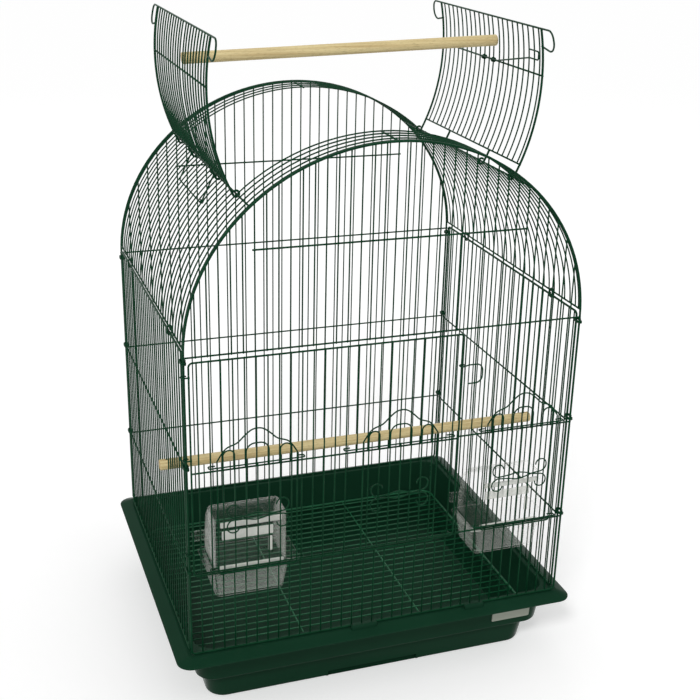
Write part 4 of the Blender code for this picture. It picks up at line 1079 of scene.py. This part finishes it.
class BIRDCAGE_OT_feeders(bpy.types.Operator):
    """Mould the clear cups and their hoods"""

    bl_idname = "birdcage.feeders"
    bl_label = "Feeders"

    def execute(self, context):
        # Each feeder stands behind the middle of its own door, give or take half a wire gap
        for side, x in (("left", -0.15703), ("right", 0.16003)):
            settle(self.cup(f"{side}_cup_moulding", x), f"{side}_feeder_cup", "cage",
                   "clear_plastic", "clear_polystyrene", "painted_highlight_polystyrene",
                   "cloudy_front_polystyrene")
            settle(self.hood(f"{side}_hood_moulding", x), f"{side}_feeder_hood", "cage",
                   "clear_plastic", "clear_polystyrene", "painted_highlight_polystyrene")
        return {"FINISHED"}

    def cup(self, name, x):
        """Thin cup with a filleted bottom, drafted walls and a rolled rim that is flat on top."""
        half_x, half_y = 0.04425, FEEDER_DEPTH / 2
        # Rows in mm, up the outside and down the inside: wider, deeper, height over the foot,
        # shift to the right, corner radius
        rows = (
            (-8.5, -8.5, 0.0, 0.0, 4.0), (-6.2, -6.2, 0.5, 0.0, 5.5), (-4.8, -4.8, 2.0, 0.0, 6.2),
            (-4.3, -4.3, 4.0, 0.0, 6.2), (-0.4, -0.4, 34.2, 0.0, 6.0), (0.4, 0.1, 35.2, 0.0, 6.0),
            (8.8, 0.7, 35.2, 4.3, 6.0), (9.5, 1.0, 35.8, 4.3, 6.2), (9.5, 1.0, 36.5, 4.3, 6.2),
            (8.9, 0.6, 37.0, 4.3, 6.0), (-1.0, -1.0, 37.0, 0.0, 5.2), (-1.7, -1.7, 36.2, 0.0, 4.8),
            (-5.8, -5.8, 5.5, 0.0, 4.8), (-6.4, -6.4, 3.4, 0.0, 4.6), (-7.8, -7.8, 2.1, 0.0, 4.0),
            (-9.8, -9.8, 1.6, 0.0, 3.0))
        shape = bmesh.new()
        loft(shape, [corner_loop(half_x + wide * MM, half_y + deep * MM, CUP_FOOT + up * MM,
                                 corner * MM, (x + shift * MM, FEEDER_Y + half_y), 6)
                     for wide, deep, up, shift, corner in rows])
        shape.normal_update()
        # The rim in front takes the pale painted highlight
        for face in shape.faces:
            middle = face.calc_center_median()
            if middle.y < FEEDER_Y + 0.004:
                if middle.z > CUP_FOOT + 0.034:
                    face.material_index = 1
                # Walls that face the front take a cloudy grey
                elif face.normal.y < -0.8:
                    face.material_index = 2
        return solid_piece(name, shape, 60)

    def hood(self, name, x):
        """Clear hood: rounded shell open below, a window behind, ledge and ribs in front, a peg."""
        half, front, back, z = 0.041, FEEDER_Y, FEEDER_Y + FEEDER_DEPTH, HOOD_Z
        top = z + 0.0655
        # From the side: straight up in front, and two slopes behind from the top shelf down
        outline = [(front, z), (back, z), (back, z + 0.0164), (front + 0.051, z + 0.0491),
                   (front + 0.036, top), (front, top)]
        shape = bmesh.new()
        loft(shape, [[(side, *point) for point in outline] for side in (x - half, x + half)])
        bmesh.ops.recalc_face_normals(shape, faces=shape.faces)
        bottom = [face for face in shape.faces if all(v.co.z < z + 0.0001 for v in face.verts)]
        bmesh.ops.delete(shape, geom=bottom, context="FACES_ONLY")
        edges = [edge for edge in shape.edges if len(edge.link_faces) == 2]
        bmesh.ops.bevel(shape, geom=edges, offset=0.0042, segments=5, profile=0.5, affect="EDGES",
                        clamp_overlap=True)
        shell = solid_piece("hood_shell", shape)
        walls = shell.modifiers.new("walls", "SOLIDIFY")
        walls.thickness, walls.offset = 0.0016, -1.0
        window_half = 0.028
        shape = carved(shell, ("DIFFERENCE", (x - window_half, front + 0.036, z + 0.006),
                               (x + window_half, back + 0.010, z + 0.044), 0.004))
        clear = len(shape.faces)
        # Bands in mm: left, right, low, high. They carry the pale painted highlight
        for left, right, low, high in ((-35.0, 35.0, 54.5, 61.0), (-33.5, 25.0, 39.5, 50.0),
                                       (19.5, 24.0, 18.0, 36.0), (-37.0, 37.0, 0.6, 6.5)):
            soft_block(shape, (x + left * MM, front - 0.0014, z + low * MM),
                       (x + right * MM, front + 0.0006, z + high * MM), 0.0009)
        shape.faces.ensure_lookup_table()
        for face in shape.faces[clear:]:
            face.material_index = 1
        # Two lugs stand on the front panel's low rail, each between two wires
        lug_z = LOW_Z + 0.00135
        for side in (-1, 1):
            lug_x = (math.floor((x + side * half * 0.6) / PITCH_X) + 0.5) * PITCH_X
            soft_block(shape, (lug_x - 0.0035, FRONT_Y - 0.0009, lug_z),
                       (lug_x + 0.0035, front + 0.0010, lug_z + 0.0012), 0.0004, 2)
        # Rows of the peg in mm: along it from inside the left wall, radius
        rows = [(0.0, 6.0)]
        for count in range(4):
            rows += [(3.3 * count + along, radius) for along, radius in (
                (2.0, 6.0), (2.5, 5.0), (3.3, 5.0), (3.8, 6.0))]
        rows += [(15.0, 6.0), (15.7, 5.6), (16.0, 4.6)]
        root = Vector((x - half + 0.0010, front + 0.048, z + 0.021))
        axis = Vector((-1.0, 0.0, 0.0))
        one = axis.orthogonal().normalized()
        loft(shape, [eye(root + axis * along * MM, 0, 345, radius * MM, one, axis.cross(one), 23)
                     for along, radius in rows])
        return solid_piece(name, shape, 50)


class BIRDCAGE_OT_perches(bpy.types.Operator):
    """Turn the two dowel perches and saw the slots of the inner one"""

    bl_idname = "birdcage.perches"
    bl_label = "Perches"

    def execute(self, context):
        radius = context.scene.cage_sizes.dowel
        # It lies across the open flaps between the sprung wires, its right end a little higher
        left_end, right_end = (-0.18557, -0.01905, 0.72031), (0.18468, -0.01905, 0.73133)
        top = self.dowel(left_end, right_end, radius)
        settle(solid_piece("top_perch_dowel", top, 50), "top_perch", "top_perch", "dowel",
               "turned_beech")
        half, y, z = 0.2365, -0.0762, 0.269
        inner = solid_piece("inner_perch_dowel", self.dowel((-half, y, z), (half, y, z), radius))
        # Each end straddles a wire of a side panel in a slot 3.1 mm wide
        slots = []
        for low, high in ((-half - 0.01, 0.013 - half), (half - 0.013, half + 0.01)):
            slots.append(("DIFFERENCE", (low, y - 0.00155, z - 0.02), (high, y + 0.00155, z + 0.02),
                          0.0003, 2))
        settle(solid_piece("inner_perch_dowel", carved(inner, *slots)), "inner_perch", "cage",
               "dowel", "turned_beech")
        return {"FINISHED"}

    def dowel(self, start, end, radius):
        """Dowel that is a touch out of round, with its end edges broken by sanding."""
        start, end = Vector(start), Vector(end)
        length = (end - start).length
        axis = (end - start).normalized()
        one = Vector(BACKWARD)
        two = axis.cross(one).normalized()
        broken = ((0.0, 0.93), (0.0003, 0.98), (0.0009, 1.0))
        rows = [*broken, *((length * k / 24, 1.0) for k in range(1, 24))]
        rows += [(length - at, share) for at, share in reversed(broken)]
        angles = [2 * math.pi * k / 32 for k in range(32)]
        shape = bmesh.new()
        loops = []
        for at, share in rows:
            centre = start + axis * at + one * 0.06 * MM * math.sin(at * 41.0)
            loops.append([centre + radius * share * (1.0 + 0.006 * math.sin(2 * a + at * 30.0)) * (
                math.cos(a) * one + math.sin(a) * two) for a in angles])
        loft(shape, loops)
        return shape


class BIRDCAGE_OT_clips(bpy.types.Operator):
    """Wind the wire clips that bind the panels together"""

    bl_idname = "birdcage.clips"
    bl_label = "Clips"

    def execute(self, context):
        off_rail = 0.005
        foot_x = roof_point(ROOF_FOOT, 0.0).x
        for end, back in (("front", -1), ("back", 1)):
            for side, out in (("left", -1), ("right", 1)):
                x, y = out * HALF_W, back * 9.6 * PITCH_Y
                for level, z in (("low", LOW_Z + off_rail), ("mid", MID_Z + off_rail),
                                 ("high", SPRING_Z - off_rail)):
                    self.clip(f"{end}_{side}_{level}_clip", (x, back * HALF_D, z),
                              (x, back * SIDE_END, z), UP)
                self.clip(f"{end}_{side}_roof_clip", (x, y, SIDE_TOP_Z),
                          (out * foot_x, y, ROOF_FOOT_Z), BACKWARD)
        return {"FINISHED"}

    def clip(self, node, first, second, run):
        """A wire wound twice round two frame wires, its ends lapped side by side."""
        work = Wirework()
        first, second, run, radius = Vector(first), Vector(second), Vector(run), 0.0024
        along = (second - first).normalized()
        across = along.cross(run).normalized()
        loop = [*eye(first, 90, 180, radius, along, across, 8),
                *eye(second, 270, 180, radius, along, across, 8)]
        start, end = ([loop[-1].lerp(loop[0], share) for share in shares]
                      for shares in ((0.25, 0.6), (0.35, 0.8)))
        path = start + loop * 2 + end
        climb = run * work.thin * 2 * WOUND
        work.wire([point + climb * (index / (len(path) - 1) - 0.5)
                   for index, point in enumerate(path)])
        work.fit(node)


STEPS = (
    BIRDCAGE_OT_stage, BIRDCAGE_OT_base_pan, BIRDCAGE_OT_label_plate, BIRDCAGE_OT_floor_grille,
    BIRDCAGE_OT_end_panels, BIRDCAGE_OT_side_panels, BIRDCAGE_OT_roof_panel,
    BIRDCAGE_OT_roof_flaps, BIRDCAGE_OT_roof_fittings, BIRDCAGE_OT_main_door,
    BIRDCAGE_OT_small_doors, BIRDCAGE_OT_feeders, BIRDCAGE_OT_perches, BIRDCAGE_OT_clips)


class BIRDCAGE_PT_panel(bpy.types.Panel):
    """Lists the cage's finishes, its sizes and the steps that build it"""

    bl_label = "Bird Cage"
    bl_idname = "BIRDCAGE_PT_panel"
    bl_space_type = "VIEW_3D"
    bl_region_type = "UI"
    bl_category = "Bird Cage"

    def draw(self, context):
        for group in (context.scene.cage_finishes, context.scene.cage_sizes):
            box = self.layout.box()
            for name in group.__annotations__:
                box.prop(group, name)
        for step in STEPS:
            self.layout.operator(step.bl_idname)


CLASSES = (CageFinishes, CageSizes, *STEPS, BIRDCAGE_PT_panel)


def register():
    for item in CLASSES:
        bpy.utils.register_class(item)
    bpy.types.Scene.cage_finishes = bpy.props.PointerProperty(type=CageFinishes)
    bpy.types.Scene.cage_sizes = bpy.props.PointerProperty(type=CageSizes)


def unregister():
    del bpy.types.Scene.cage_sizes
    del bpy.types.Scene.cage_finishes
    for item in reversed(CLASSES):
        bpy.utils.unregister_class(item)


def main():
    register()
    for step in STEPS:
        getattr(bpy.ops.birdcage, step.bl_idname.split(".")[1])()


if __name__ == "__main__":
    main()
